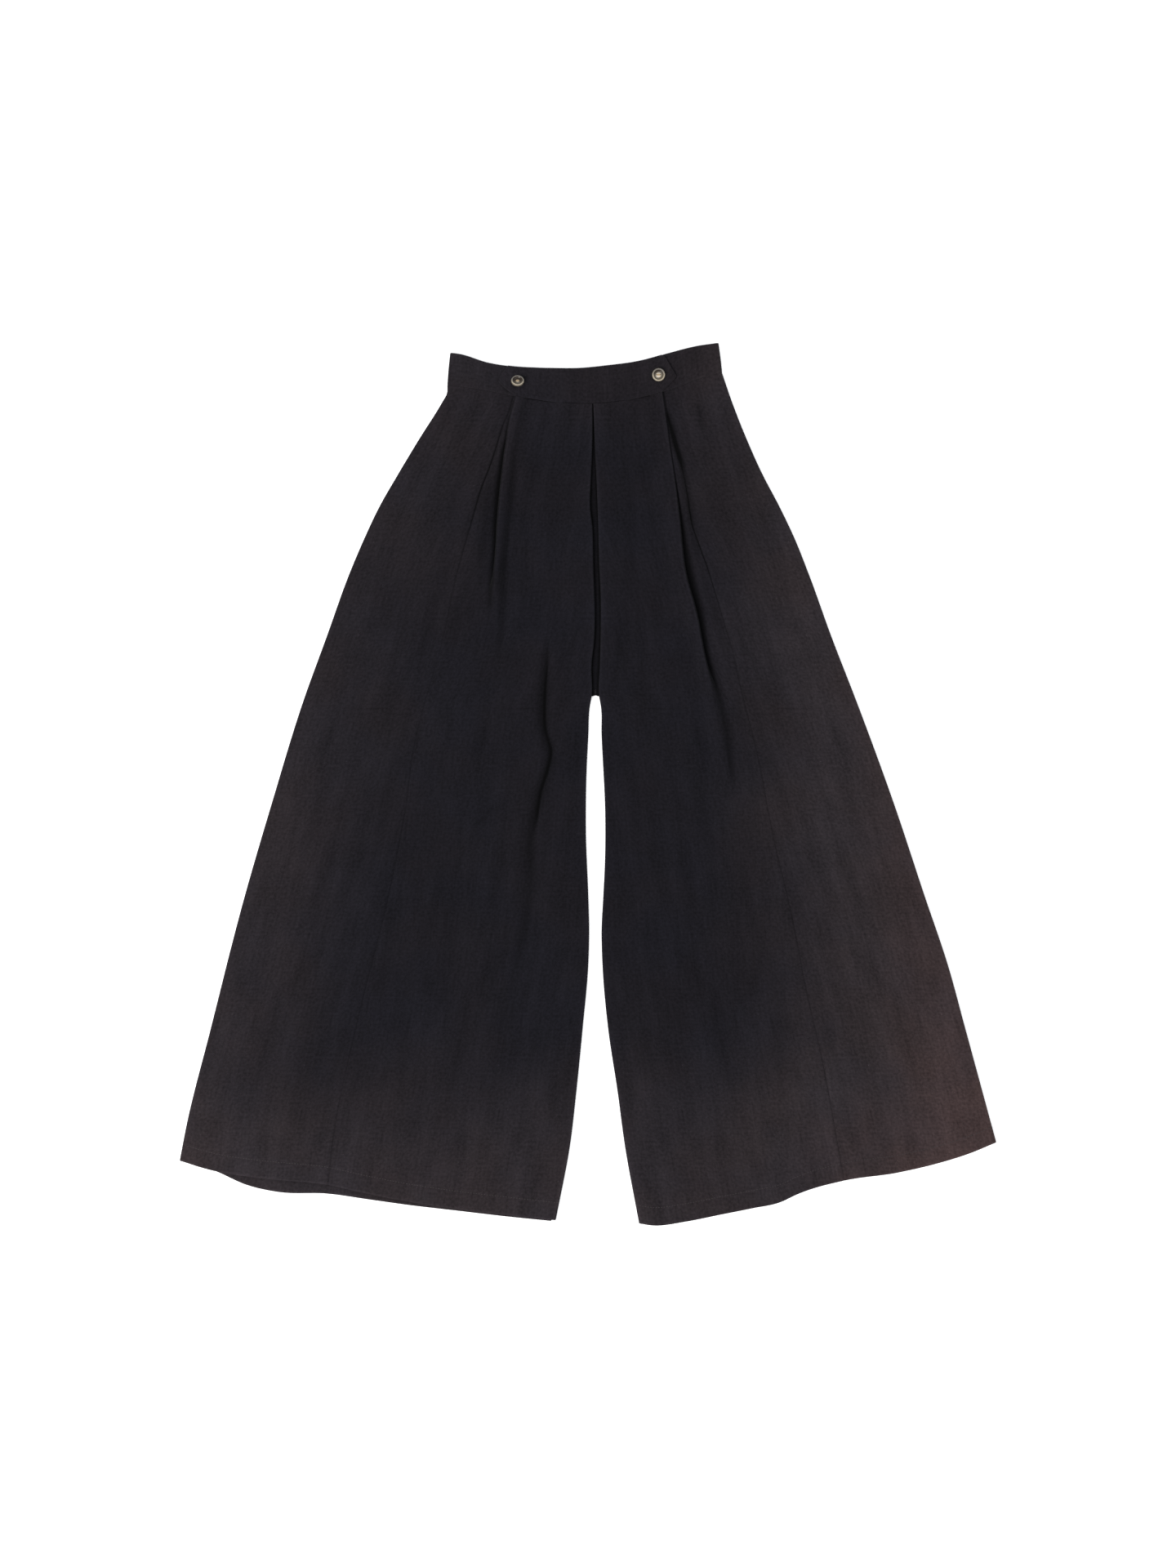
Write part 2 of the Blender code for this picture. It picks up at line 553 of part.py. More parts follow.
def button(name, place, finish, cutters):
    """A turned button with a raised rim and two thread holes."""
    corners = [(radius * MM, 0.0, height * MM) for radius, height in BUTTON_PROFILE]
    data = bpy.data.meshes.new(name)
    data.from_pydata(corners, [(k, k + 1) for k in range(len(corners) - 1)], [])
    piece = add_object(name, data, finish)
    turned = piece.modifiers.new("turned", "SCREW")
    turned.steps = turned.render_steps = BUTTON_STEPS
    turned.use_merge_vertices = True
    turned.merge_threshold = 0.00001
    turned.use_smooth_shade = True

    across, drop = place
    level = TAB_LEVEL + BAND_WALL / 2 + GAP
    piece.location = Vector(placed([across], [drop], level)[0]) * MM
    for number, side in enumerate((-1, 1)):
        mesh = bmesh.new()
        bmesh.ops.create_cone(
            mesh, cap_ends=True, segments=THREAD_HOLE_SIDES, radius1=THREAD_HOLE_RADIUS * MM,
            radius2=THREAD_HOLE_RADIUS * MM, depth=THREAD_HOLE_DEPTH * MM,
        )
        hole = bpy.data.meshes.new(f"{name}_hole_{number + 1}")
        mesh.to_mesh(hole)
        mesh.free()
        cutter = bpy.data.objects.new(hole.name, hole)
        cutter.location = piece.location + Vector((side * THREAD_HOLE_SPACING / 2 * MM, 0.0, 0.0))
        cutter.hide_render = True
        cutter.display_type = "WIRE"
        cutters.objects.link(cutter)
        cut = piece.modifiers.new(f"thread_hole_{number + 1}", "BOOLEAN")
        cut.operation = "DIFFERENCE"
        cut.object = cutter


def material(name, colour, roughness):
    """A Principled material."""
    finish = bpy.data.materials.new(name)
    finish.use_nodes = True
    shader = finish.node_tree.nodes["Principled BSDF"]
    shader.inputs["Base Color"].default_value = colour
    shader.inputs["Roughness"].default_value = roughness
    shader.inputs["Metallic"].default_value = 0.0
    finish.diffuse_color = colour
    return finish


def main():
    """Builds the trousers in an empty scene."""
    for old in list(bpy.data.objects):
        bpy.data.objects.remove(old)
    trousers = bpy.data.collections.new("trousers")
    cutters = bpy.data.collections.new("trousers_cutters")
    cutters.hide_render = True
    for collection in (trousers, cutters):
        bpy.context.scene.collection.children.link(collection)

    front_stations = UPPER_STATIONS + CROTCH_STATIONS + LOWER_STATIONS + HEM_STATIONS
    side_stations = UPPER_STATIONS + SIDE_CROTCH_STATIONS + LOWER_STATIONS + HEM_STATIONS
    back_stations = UPPER_STATIONS + BACK_CROTCH_STATIONS + LOWER_STATIONS + HEM_STATIONS
    for leg in (RIGHT_LEG, LEFT_LEG):
        for kind, section, stations, hem in (
            ("front", front_section, front_stations, leg.hem),
            ("side", side_section, side_stations, leg.hem),
            ("back", back_section, back_stations, leg.back_hem),
        ):
            name = f"{kind}_{leg.name}"
            panel(name, leg, section, stations, hem, material(name, CLOTH_COLOUR, CLOTH_ROUGHNESS))
    waistband_back(material("waistband_back", CLOTH_COLOUR, CLOTH_ROUGHNESS))
    waistband_front(material("waistband_front", CLOTH_COLOUR, CLOTH_ROUGHNESS))
    for name, place in BUTTON_PLACES.items():
        button(name, place, material(name, BUTTON_COLOUR, BUTTON_ROUGHNESS), cutters)


main()
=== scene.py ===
"""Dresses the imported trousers: near-black linen with very wide legs, laid flat on a pale floor with the front up.

Sizes are in millimetres until a mesh is made of them. "Right" and "left" are the wearer's.

drop: distance down from the waistband's highest point.
reach: distance from the centre front line, positive away from it on either leg.
across: the same distance with a sign, positive towards +X.
"""

import logging
import math
from dataclasses import dataclass, field
from enum import Enum
from functools import partial

import bmesh
import bpy
import numpy as np
from mathutils import Matrix, Vector


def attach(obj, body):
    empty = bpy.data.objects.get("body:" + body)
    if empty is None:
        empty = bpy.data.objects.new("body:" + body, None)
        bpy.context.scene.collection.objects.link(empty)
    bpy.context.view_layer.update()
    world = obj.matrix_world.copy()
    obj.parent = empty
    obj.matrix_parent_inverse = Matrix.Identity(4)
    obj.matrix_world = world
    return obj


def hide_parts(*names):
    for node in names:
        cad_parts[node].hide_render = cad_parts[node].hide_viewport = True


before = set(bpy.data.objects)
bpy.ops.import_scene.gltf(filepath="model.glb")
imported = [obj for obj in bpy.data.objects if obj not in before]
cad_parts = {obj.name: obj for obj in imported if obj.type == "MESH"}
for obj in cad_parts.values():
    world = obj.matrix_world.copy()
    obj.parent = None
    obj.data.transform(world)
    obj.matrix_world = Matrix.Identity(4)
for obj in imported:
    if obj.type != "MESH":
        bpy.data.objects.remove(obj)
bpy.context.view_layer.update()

Array = np.ndarray
Table = tuple[tuple[float, ...], ...]

MM = 0.001
log = logging.getLogger("trousers")

# Overall sizes, as the solids have them
LENGTH = 1081.0
CENTRE_LINE_X = 9.0
WAIST_SEAM_DROP = 75.0
CROTCH_DROP = 433.0
HEM_DROP = 1050.0
WAIST_FADE_DROP = 330.0
HEM_FADE_DROP = 700.0

# Cloth walls and levels
WALL = 1.2
BAND_WALL = 2.2
HEM_WALL = 2.0
HEM_DEPTH = 24.0
HEM_EDGE_WALL = 1.0
HEM_EDGE_FADE = 2.5
GAP = 0.3
HALF_SEAM = GAP / 2
SEAM_GAP = 0.1
FRONT_LEVEL = WALL + GAP + WALL / 2
HIGHEST_RELIEF = 7.5
WAIST_PUFF = 0.9
LEG_PUFF = 2.6
PUFF_DROPS = (250.0, 420.0)
HEM_RAISE = 1.2
HEM_RAISE_FADE = 45.0
CREASE_FADE = 0.25
CROTCH_FADE = 40.0
CROTCH_CLEARANCE = 12.0
BACK_CROTCH_START = 424.0
EDGE_RADIUS = 1.6
EDGE_RETURN = 5.0
EDGE_SETTLE = 25.0
LIFT_MARGIN = 2.0
LIFT_FALL = 20.0
ROLL_START = 0.5
ROLL_FALL = 12.0
UNDERLAY_RISE = 2.4
UNDERLAY_WIDTH = 18.0
UNDERLAY_START = 0.2
UNDERLAY_MARGIN = 1.0
UNDERLAY_END = 0.55
LEAST_PLEAT = 1.0
FOLD_SHADE = 0.95
FOLD_SHADE_START = 0.3
PLEAT_LIGHT = 0.5
PLEAT_LIGHT_REACH = 3.5
SOFT_FLOOR = 0.25
FOLD_WEAR_REACH = 1.6
EDGE_WEAR_REACH = 1.5
HEM_WEAR_DEPTH = 3.0
CLOTH_SHARP_ANGLE = 60.0

# Seams and the stitched hem
SEAM_DIP = 1.5
SEAM_DIP_LEAST = 0.4
SEAM_WIDTH = 1.1
SEAM_SHADE_WIDTH = 1.0
NEAR_SEAM = 4.0
HIDDEN_SEAM = 0.02
STITCH_STATION = HEM_DROP - 22.0
STITCH_DIP = 0.3
STITCH_DIP_WIDTH = 2.2
PUCKER_HEIGHT = 0.16
PUCKER_PITCH = 6.5
PUCKER_REACH = 9.0
PUCKER_DRIFT = 3.0
PUCKER_DRIFT_REACH = 41.0

WAIST_SEAM: Table = (
    (-181.5, 51.5), (-140, 57.5), (-87.5, 67.5), (-40.5, 73.8), (-4.5, 75), (27.5, 72.5), (61.5, 66),
    (95, 56.5), (125, 45), (155.5, 36),
)
BAND_TOP: Table = (
    (-178, 12), (-164.5, 14), (-132.5, 24), (-100.5, 29), (-52.5, 31), (-20.5, 31), (11.5, 28), (59.5, 21),
    (91.5, 12), (123.5, 4), (151, 0),
)
CENTRE_SEAM: Table = ((77, -3), (130, -2), (171, -2), (227, 0), (311, 2), (366, 2.5), (394, 0.5), (433, 0))

CENTRE_FOLD_COLUMNS = ("drop", "lap", "start", "arc", "radius", "top", "run")
CENTRE_FOLD: Table = (
    (75, 26, 0, 2.5, 1.0, 5.7, 0),
    (140, 25, 0, 2.5, 1.3, 6.6, 0),
    (250, 24, 0, 2.5, 1.4, 7.0, 0),
    (350, 14, 0, 2.5, 1.4, 7.0, 0),
    (410, 5, 0, 2.5, 1.3, 6.6, 0),
    (433, 1.5, 0, 2.5, 1.1, 5.9, 0),
    (434.5, 1.5, 0, 2.5, 1.1, 5.7, 0.5),
    (437, 1.2, 60, 2.0, 1.2, 5.2, 0.5),
    (440, 1.0, 120, 1.5, 1.4, 4.5, 0.5),
    (446, 1.0, 180, 1.0, 1.6, 3.8, 0),
    (1050, 1.0, 180, 1.0, 1.6, 3.8, 0),
)
SIDE_FOLD_COLUMNS = ("past", "lap", "turn", "arc_in", "arc_out")
SIDE_FOLD: Table = (
    (-300, 8, 180, 2.2, 2.3),
    (-225, 8, 180, 2.4, 2.7),
    (-200, 8, 180, 2.8, 3.6),
    (-180, 8, 180, 2.8, 4.2),
    (-140, 8, 180, 2.8, 6.2),
    (-60, 8, 180, 2.8, 6.8),
    (-8, 4, 180, 2.8, 6.6),
    (6, 2.5, 140, 2.6, 5.4),
    (22, 2.0, 75, 2.6, 4.2),
    (45, 3.0, 18, 5.0, 6.0),
    (75, 6.0, 5, 10.0, 12.0),
    (120, 8.0, 0, 14.0, 16.0),
    (330, 12.0, 0, 22.0, 22.0),
)

# Rows down the cloth, close together where its folds change: runs of (first, end, step), and single rows
ROW_RUNS: Table = ((79.0, 420.0, 4.0), (420.0, 450.0, 2.0), (450.0, 1018.0, 4.6), (1018.0, 1047.0, 1.8))
EDGE_ROWS = (WAIST_SEAM_DROP, 75.6, 77.0, 1047.0, 1048.2, 1049.2, 1049.7, HEM_DROP)
ROWS = np.unique(np.concatenate([EDGE_ROWS, *(np.arange(*run) for run in ROW_RUNS)]))

# Steps along a section
HIDDEN_STEPS = 5
VISIBLE_STEPS = 10
NEAR_STEPS = 8
RUN_STEPS = 18
LAP_STEPS = 5
TOP_STEPS = 97
SIDE_STEPS = 65
BACK_STEPS = 55
CURL_STEPS = 2

# Each panel's flat width and length in metres and area in square metres, in the order of Kind
RIGHT_CUTS: Table = ((0.30, 1.02, 0.247), (0.20, 1.02, 0.155), (0.47, 1.02, 0.359))
LEFT_CUTS: Table = ((0.28, 1.02, 0.223), (0.20, 0.99, 0.148), (0.45, 1.02, 0.326))


class Side(Enum):
    """The wearer's side of a leg or button, as the sign of its X."""

    RIGHT = -1
    LEFT = 1


class Kind(Enum):
    """Which panel of a leg a piece of cloth is."""

    FRONT = "front"
    SIDE = "side"
    BACK = "back"


def smoothstep(low: float, high: float, value: Array | float) -> Array:
    """0 below low, 1 above high, and a smooth S between them.

    Args:
        low: Where it leaves 0.
        high: Where it reaches 1.
        value: The places asked for.

    Returns:
        The height of the S at each place.
    """
    share = np.clip((value - low) / (high - low), 0.0, 1.0)
    return share * share * (3.0 - 2.0 * share)


def along(table: Table, place: Array | float) -> Array:
    """The second column of a table, on a smooth curve that ends in straight lines.

    Args:
        table: Rows of (place, value), places rising.
        place: The places asked for.

    Returns:
        The value at each place.
    """
    known, values = np.array(table, float).T
    slopes = np.gradient(values, known)
    place = np.asarray(place, float)
    inside = np.clip(place, known[0], known[-1])
    row = np.clip(np.searchsorted(known, inside, side="right") - 1, 0, len(known) - 2)
    span = known[row + 1] - known[row]
    t = (inside - known[row]) / span
    curve = (
        (2 * t**3 - 3 * t**2 + 1) * values[row]
        + (t**3 - 2 * t**2 + t) * span * slopes[row]
        + (3 * t**2 - 2 * t**3) * values[row + 1]
        + (t**3 - t**2) * span * slopes[row + 1]
    )
    past_end = np.where(place > known[-1], slopes[-1], slopes[0])
    return curve + (place - inside) * past_end


def straight(table: Table, place: Array | float, column: int = 1) -> Array:
    """A column of a table at a place in its first, with straight lines between its rows."""
    numbers = np.array(table, float)
    return np.interp(place, numbers[:, 0], numbers[:, column])


def bell(off: Array | float) -> Array:
    """1 where off is 0, falling to nothing on both sides by about 2."""
    return np.exp(-off * off)


def row_of(table: Table, columns: tuple[str, ...], place: float) -> dict[str, float]:
    """All of a table's columns at a place in its first, with straight lines between its rows.

    Args:
        table: The rows.
        columns: The columns' names.
        place: The place in the first column.

    Returns:
        Each column's value by its name.
    """
    return {name: float(straight(table, place, k)) for k, name in enumerate(columns)}


def placed(across: Array, drop: Array, height: Array) -> Array:
    """Points in the frame of the whole object.

    Args:
        across: Signed distance from the centre front line.
        drop: Distance down from the waistband's highest point.
        height: Height over the table.

    Returns:
        One row of (x, y, z) in millimetres for each point.
    """
    across, drop, height = np.broadcast_arrays(across, drop, height)
    return np.column_stack([across + CENTRE_LINE_X, LENGTH / 2 - drop, height])


@dataclass(frozen=True)
class Crease:
    """A soft ridge (rise over 0) or trough (under 0) along (drop, reach) points.

    width is half its breadth. lean, from -1 to 1, makes its outer flank longer and its inner one steeper.
    shade is how much of the light stays out of its bottom.
    """

    rise: float
    width: float
    path: Table
    lean: float = 0.0
    shade: float = 0.0

    def share(self, drop: Array, reach: Array) -> Array:
        """The crease's shape, 1 along its middle and 0 away from it.

        Args:
            drop: The points' drops.
            reach: The points' reaches.

        Returns:
            The share at each point.
        """
        first, last = self.path[0][0], self.path[-1][0]
        fade = (last - first) * CREASE_FADE
        shown = smoothstep(first, first + fade, drop) * (1.0 - smoothstep(last - fade, last, drop))
        off = reach - along(self.path, drop)
        off = off / (self.width * (1.0 + self.lean * np.sign(off)))
        return shown * bell(off)


@dataclass(frozen=True)
class Rumple:
    """Uneven soft waves in cloth, on one seeded lattice of heights."""

    seed: int
    across: float
    down: float
    rise: float
    lattice: int = 48

    def height(self, drop: Array, reach: Array) -> Array:
        """How far the waves lift the cloth.

        Args:
            drop: The points' drops.
            reach: The points' reaches.

        Returns:
            The lift at each point, from -rise to rise.
        """
        knots = np.random.default_rng(self.seed).uniform(-1.0, 1.0, (self.lattice, self.lattice))
        u = np.asarray(reach) / self.across + self.lattice
        v = np.asarray(drop) / self.down + self.lattice
        column, row = np.floor(u).astype(int), np.floor(v).astype(int)
        u, v = smoothstep(0.0, 1.0, u - column), smoothstep(0.0, 1.0, v - row)
        column, row = column % self.lattice, row % self.lattice
        right, below = (column + 1) % self.lattice, (row + 1) % self.lattice
        upper = knots[row, column] * (1 - u) + knots[row, right] * u
        lower = knots[below, column] * (1 - u) + knots[below, right] * u
        return self.rise * (upper * (1 - v) + lower * v)


def rumples(seed: int) -> tuple[Rumple, ...]:
    """A leg's waves from the broadest to the finest, seeded from this number on."""
    sizes = ((130.0, 240.0, 0.80), (42.0, 170.0, 0.60), (17.0, 80.0, 0.22), (60.0, 26.0, 0.12))
    return tuple(Rumple(seed + number, *size) for number, size in enumerate(sizes))


@dataclass(frozen=True)
class Leg:
    """One leg's curves as (drop, reach) and hems as (reach, drop). opens: where its side pleat opens."""

    side: Side
    outer: Table
    seam: Table
    fold: Table
    inner: Table
    hem: Table
    back_hem: Table
    opens: float
    # Painted shade along the side-front seam, which also sets how deep the seam dips; fold_gap gives the width of
    # the painted shade in the side pleat's gap, and of the underlay's dive there
    seam_shade: Table
    fold_gap: Table
    creases: tuple[Crease, ...]
    rumples: tuple[Rumple, ...]

    @property
    def name(self) -> str:
        """The wearer's side in small letters."""
        return self.side.name.lower()

    def drop_at(self, station: float, reach: Array | float, hem: Table) -> Array:
        """Where a station lies: it bends up to the waist seam near the waist and down to the hem near the hem.

        Args:
            station: The station's nominal drop.
            reach: The reaches asked for.
            hem: The hem that the station ends in.

        Returns:
            The drop at each reach.
        """
        waist = along(WAIST_SEAM, self.side.value * reach) - WAIST_SEAM_DROP
        foot = along(hem, reach) - HEM_DROP
        near_waist = 1.0 - smoothstep(WAIST_SEAM_DROP, WAIST_FADE_DROP, station)
        near_hem = smoothstep(HEM_FADE_DROP, HEM_DROP, station)
        return station + waist * near_waist + foot * near_hem

    def reach_of(self, curve: Table, station: float, hem: Table) -> float:
        """Where a station crosses one of the leg's curves.

        Args:
            curve: The curve.
            station: The station's nominal drop.
            hem: The hem that the station ends in.

        Returns:
            The reach of the crossing.
        """
        reach = float(along(curve, station))
        for _ in range(4):
            reach = float(along(curve, self.drop_at(station, reach, hem)))
        return reach


RIGHT_LEG = Leg(
    side=Side.RIGHT,
    outer=((52, 181.5), (62, 182), (72, 187.5), (120, 217.5), (160, 241.5), (200, 264.5), (240, 283.5),
           (280, 300.5), (360, 329.5), (440, 358.5), (560, 395.5), (680, 430.5), (840, 471.5), (960, 501.5),
           (1002, 509.5)),
    seam=((65, 100), (85, 106), (98, 112), (116, 118), (138, 124.8), (154, 130.3), (174, 138.4), (215, 150.5),
          (288, 170.5), (372, 188.5), (444, 209.5), (494, 221.5), (573, 232.5), (680, 253.5), (837, 292.5),
          (980, 321.5), (1030, 326.5)),
    fold=((65, 98), (94, 105.5), (107, 108), (125, 110.3), (138, 112.3), (149, 113.6), (176, 116.8), (198, 119),
          (227, 121.2), (243, 121.9), (265, 123.5), (316, 127.5), (500, 145), (1050, 205)),
    inner=((77, 3.5), (116, 3.5), (171, 5.5), (199, 6.5), (227, 3.5), (269, 2.5), (366, 1.5), (394, 4.5),
           (433, 4.5), (446, 6.8), (480, 8.5), (520, 10.5), (600, 11.5), (680, 8.5), (720, 7.5), (760, 8.5),
           (840, 15.5), (920, 23.5), (980, 30.5), (1075, 48.5)),
    hem=((48.5, 1075), (99.5, 1069), (168.5, 1061), (228.5, 1052), (278.5, 1042), (329.5, 1031), (398.5, 1024),
         (466.5, 1014), (509.5, 1002)),
    back_hem=((48.5, 1077), (108.5, 1071), (168.5, 1064), (228.5, 1057), (278.5, 1050), (328.5, 1043),
              (388.5, 1041), (428.5, 1032), (466.5, 1015), (509.5, 1002)),
    opens=270.0,
    seam_shade=((65, 0.45), (105, 0.6), (130, 0.8), (165, 0.95), (212, 0.9), (240, 0.45), (260, 0.3), (340, 0.12),
                (1050, 0.18)),
    fold_gap=((75, 0.4), (107, 0.6), (125, 1.8), (138, 4.8), (150, 6.6), (176, 8.2), (198, 8.6), (227, 7.2),
              (256, 5.6), (290, 4.0)),
    creases=(
        Crease(-1.8, 6.5, ((85, 92), (120, 99), (160, 100), (194, 103), (225, 107), (266, 110.5), (334, 113),
                           (365, 116), (420, 123)), 0.0, 0.34),
        Crease(-1.2, 4.5, ((250, 124.5), (285, 127.5), (309, 129), (338, 131)), 0.0, 0.5),
        Crease(-0.6, 9, ((136, 120), (160, 126), (194, 131), (238, 135.5), (265, 140), (305, 146)), 0.0, 0.24),
        Crease(0.9, 9, ((100, 74), (180, 84), (266, 92), (350, 94), (420, 98)), 0.2),
        Crease(-1.5, 9, ((330, 60), (381, 58), (433, 61.5), (475, 60.5), (501, 54), (548, 66), (606, 79), (663, 79),
                         (726, 89.5), (794, 105), (850, 118)), 0.0, 0.36),
        Crease(-3.0, 3.6, ((335, 60), (381, 58), (433, 61.5), (475, 60.5), (501, 54), (522, 58), (548, 66),
                           (585, 72), (640, 84)), 0.3, 0.85),
        Crease(2.0, 8, ((335, 71), (381, 69), (433, 73), (475, 72.5), (501, 66), (548, 78), (600, 88)), 0.3),
        Crease(1.4, 8, ((335, 49), (381, 47), (433, 50), (475, 49), (501, 43), (548, 54), (585, 60)), -0.2),
        Crease(1.2, 14, ((330, 84), (450, 90), (560, 96), (680, 108))),
        Crease(1.5, 8, ((100, 109), (160, 115), (234, 121), (300, 126), (350, 130)), -0.3),
        Crease(0.9, 5, ((560, 118), (584, 140), (600, 154)), 0.0, 0.25),
        Crease(1.6, 9, ((100, 160), (180, 178), (255, 195), (320, 206), (420, 222))),
        Crease(-1.8, 8, ((130, 148), (216, 167), (309, 186), (405, 208), (450, 218)), 0.2),
        Crease(1.2, 9, ((230, 150), (300, 168), (380, 182), (460, 202))),
        Crease(-1.5, 11, ((190, 250), (243, 266), (300, 283), (350, 300))),
        Crease(1.8, 13, ((190, 226), (243, 243), (330, 275), (420, 300)), -0.3),
        Crease(1.2, 7, ((90, 142), (135, 188), (171, 212), (215, 240)), 0.2),
        Crease(-0.8, 8, ((110, 178), (150, 208), (190, 234))),
        Crease(-1.1, 20, ((560, 150), (700, 165), (860, 175), (980, 180))),
        Crease(-1.2, 9, ((300, 100), (380, 121), (437, 128), (516, 142), (600, 150)), 0.2),
        Crease(1.3, 26, ((520, 300), (700, 350), (880, 400))),
        Crease(-0.9, 9, ((660, 74), (717, 84), (747, 90), (795, 101), (900, 118)), -0.3),
        Crease(-0.8, 11, ((880, 128), (966, 128.5), (1030, 132))),
        Crease(0.9, 30, ((620, 220), (780, 240), (980, 262))),
        Crease(-0.9, 24, ((560, 268), (720, 330), (900, 372))),
    ),
    rumples=rumples(11),
)

LEFT_LEG = Leg(
    side=Side.LEFT,
    outer=((37, 155.5), (72, 167.5), (120, 186.5), (160, 204.5), (200, 225.5), (240, 244.5), (280, 260.5),
           (360, 289.5), (440, 320.5), (560, 364.5), (680, 404.5), (760, 431.5), (840, 453.5), (980, 491.5)),
    seam=((61, 83.5), (92, 89), (111, 93.6), (124, 97), (142, 103), (166, 108.8), (190, 113.2), (213, 116.6),
          (224, 118.8), (239, 124), (257, 130.6), (282, 139.5), (297, 144), (339, 157), (375, 167.5), (423, 178.5),
          (512, 200.5), (601, 217.5), (709, 242.5), (787, 257.5), (880, 278.5), (1026, 304.5)),
    fold=((61, 82.4), (93, 87.2), (122, 91), (159, 96.6), (190, 100.8), (217, 104), (239, 106.2), (250, 107.2),
          (273, 110), (295, 114.6), (317, 121), (339, 126.4), (362, 130.6), (375, 133), (402, 139),
          (428, 146), (450, 151), (519, 165), (1050, 215)),
    inner=((77, -2.5), (130, -0.5), (171, 1.5), (227, 3.5), (269, 4.5), (311, 6.5), (352, 6.5), (394, 5.5),
           (433, 4.5), (446, 6.8), (480, 7.5), (520, 9.5), (560, 11.5), (640, 11.5), (680, 9.5), (720, 7.5),
           (760, 8.5), (840, 15.5), (920, 27.5), (980, 35.5), (1079, 53.5)),
    hem=((53.5, 1079), (71.5, 1081), (111.5, 1076), (151.5, 1068), (191.5, 1060), (227.5, 1052), (246.5, 1043),
         (304.5, 1026), (371.5, 1016), (451.5, 995), (490.5, 980)),
    back_hem=((53.5, 1078), (71.5, 1079), (111.5, 1074), (151.5, 1066), (191.5, 1058), (227.5, 1050),
              (246.5, 1041), (304.5, 1024), (371.5, 1014), (451.5, 993), (490.5, 979)),
    opens=388.0,
    seam_shade=((61, 0.4), (92, 0.5), (124, 0.4), (180, 0.3), (210, 0.5), (224, 0.9), (262, 0.9), (297, 0.6),
                (350, 0.3), (600, 0.16), (1050, 0.22)),
    fold_gap=((75, 0.1), (165, 0.1), (185, 1.4), (205, 3.4), (239, 7.5), (250, 9.0), (273, 13.0), (295, 14.0),
              (317, 12.5), (362, 10.5), (390, 8.0)),
    creases=(
        Crease(-1.8, 7, ((350, 132), (375, 137), (402, 143), (428, 150), (450, 155), (480, 160.5), (520, 166),
                         (570, 172)), 0.2, 0.6),
        Crease(1.8, 9, ((385, 128), (420, 137), (450, 143), (480, 149), (540, 156)), -0.2),
        Crease(1.4, 9, ((330, 146), (400, 160), (438, 168), (520, 182), (600, 190)), 0.3),
        Crease(-1.6, 5.4, ((80, 88), (111, 95), (124, 98.4), (142, 104), (166, 109.4), (190, 113.8), (213, 117.4),
                           (245, 126)), 0.2, 0.5),
        Crease(-0.8, 5.0, ((70, 85), (92, 89.8), (111, 94.4), (124, 97.6), (142, 103), (164, 107.6)), 0.0, 0.85),
        Crease(1.3, 9, ((90, 116), (150, 130), (225, 142), (290, 158)), 0.2),
        Crease(1.1, 8, ((72, 70), (151, 84), (225, 92), (300, 98), (380, 106)), -0.4),
        Crease(-1.3, 10, ((90, 58), (180, 66), (300, 78), (400, 88))),
        Crease(0.9, 12, ((110, 36), (220, 44), (330, 50), (420, 52))),
        Crease(-1.7, 7, ((60, 161), (93, 170), (126, 176), (198, 192), (230, 202)), -0.2),
        Crease(1.7, 11, ((70, 146), (150, 164), (240, 190), (330, 214)), -0.2),
        Crease(-1.6, 12, ((200, 206), (255, 224), (324, 247), (400, 276))),
        Crease(1.3, 14, ((230, 236), (300, 262), (380, 288), (460, 312))),
        Crease(-1.2, 5, ((68, 125), (85, 128.5), (110, 134)), 0.0, 0.3),
        Crease(-1.1, 18, ((500, 62), (694, 70), (823, 74), (940, 84))),
        Crease(-1.1, 8, ((230, 50), (300, 55), (380, 58), (450, 60))),
        Crease(1.3, 24, ((520, 120), (694, 140), (880, 172))),
        Crease(-1.1, 10, ((540, 142), (620, 150), (694, 157), (823, 158), (930, 176)), -0.2),
        Crease(1.2, 26, ((540, 270), (700, 316), (880, 370))),
        Crease(-0.9, 22, ((600, 206), (760, 226), (940, 250))),
        Crease(-0.8, 26, ((560, 330), (740, 388), (900, 430))),
    ),
    rumples=rumples(21),
)


def wall_at(station: float) -> float:
    """The cloth's thickness: double over the turned-up hem and rounded off at its folded edge.

    Args:
        station: The nominal drop.

    Returns:
        The thickness there.
    """
    turned_up = HEM_DROP - HEM_DEPTH
    hem = WALL + (HEM_WALL - WALL) * smoothstep(turned_up - HEM_EDGE_FADE, turned_up, station)
    return float(hem - (HEM_WALL - HEM_EDGE_WALL) * smoothstep(HEM_DROP - HEM_EDGE_FADE, HEM_DROP, station))


def puff_at(station: float) -> float:
    """How far the uncreased front cloth stands above the level where it would lie pressed flat."""
    return float(WAIST_PUFF + (LEG_PUFF - WAIST_PUFF) * smoothstep(*PUFF_DROPS, station))


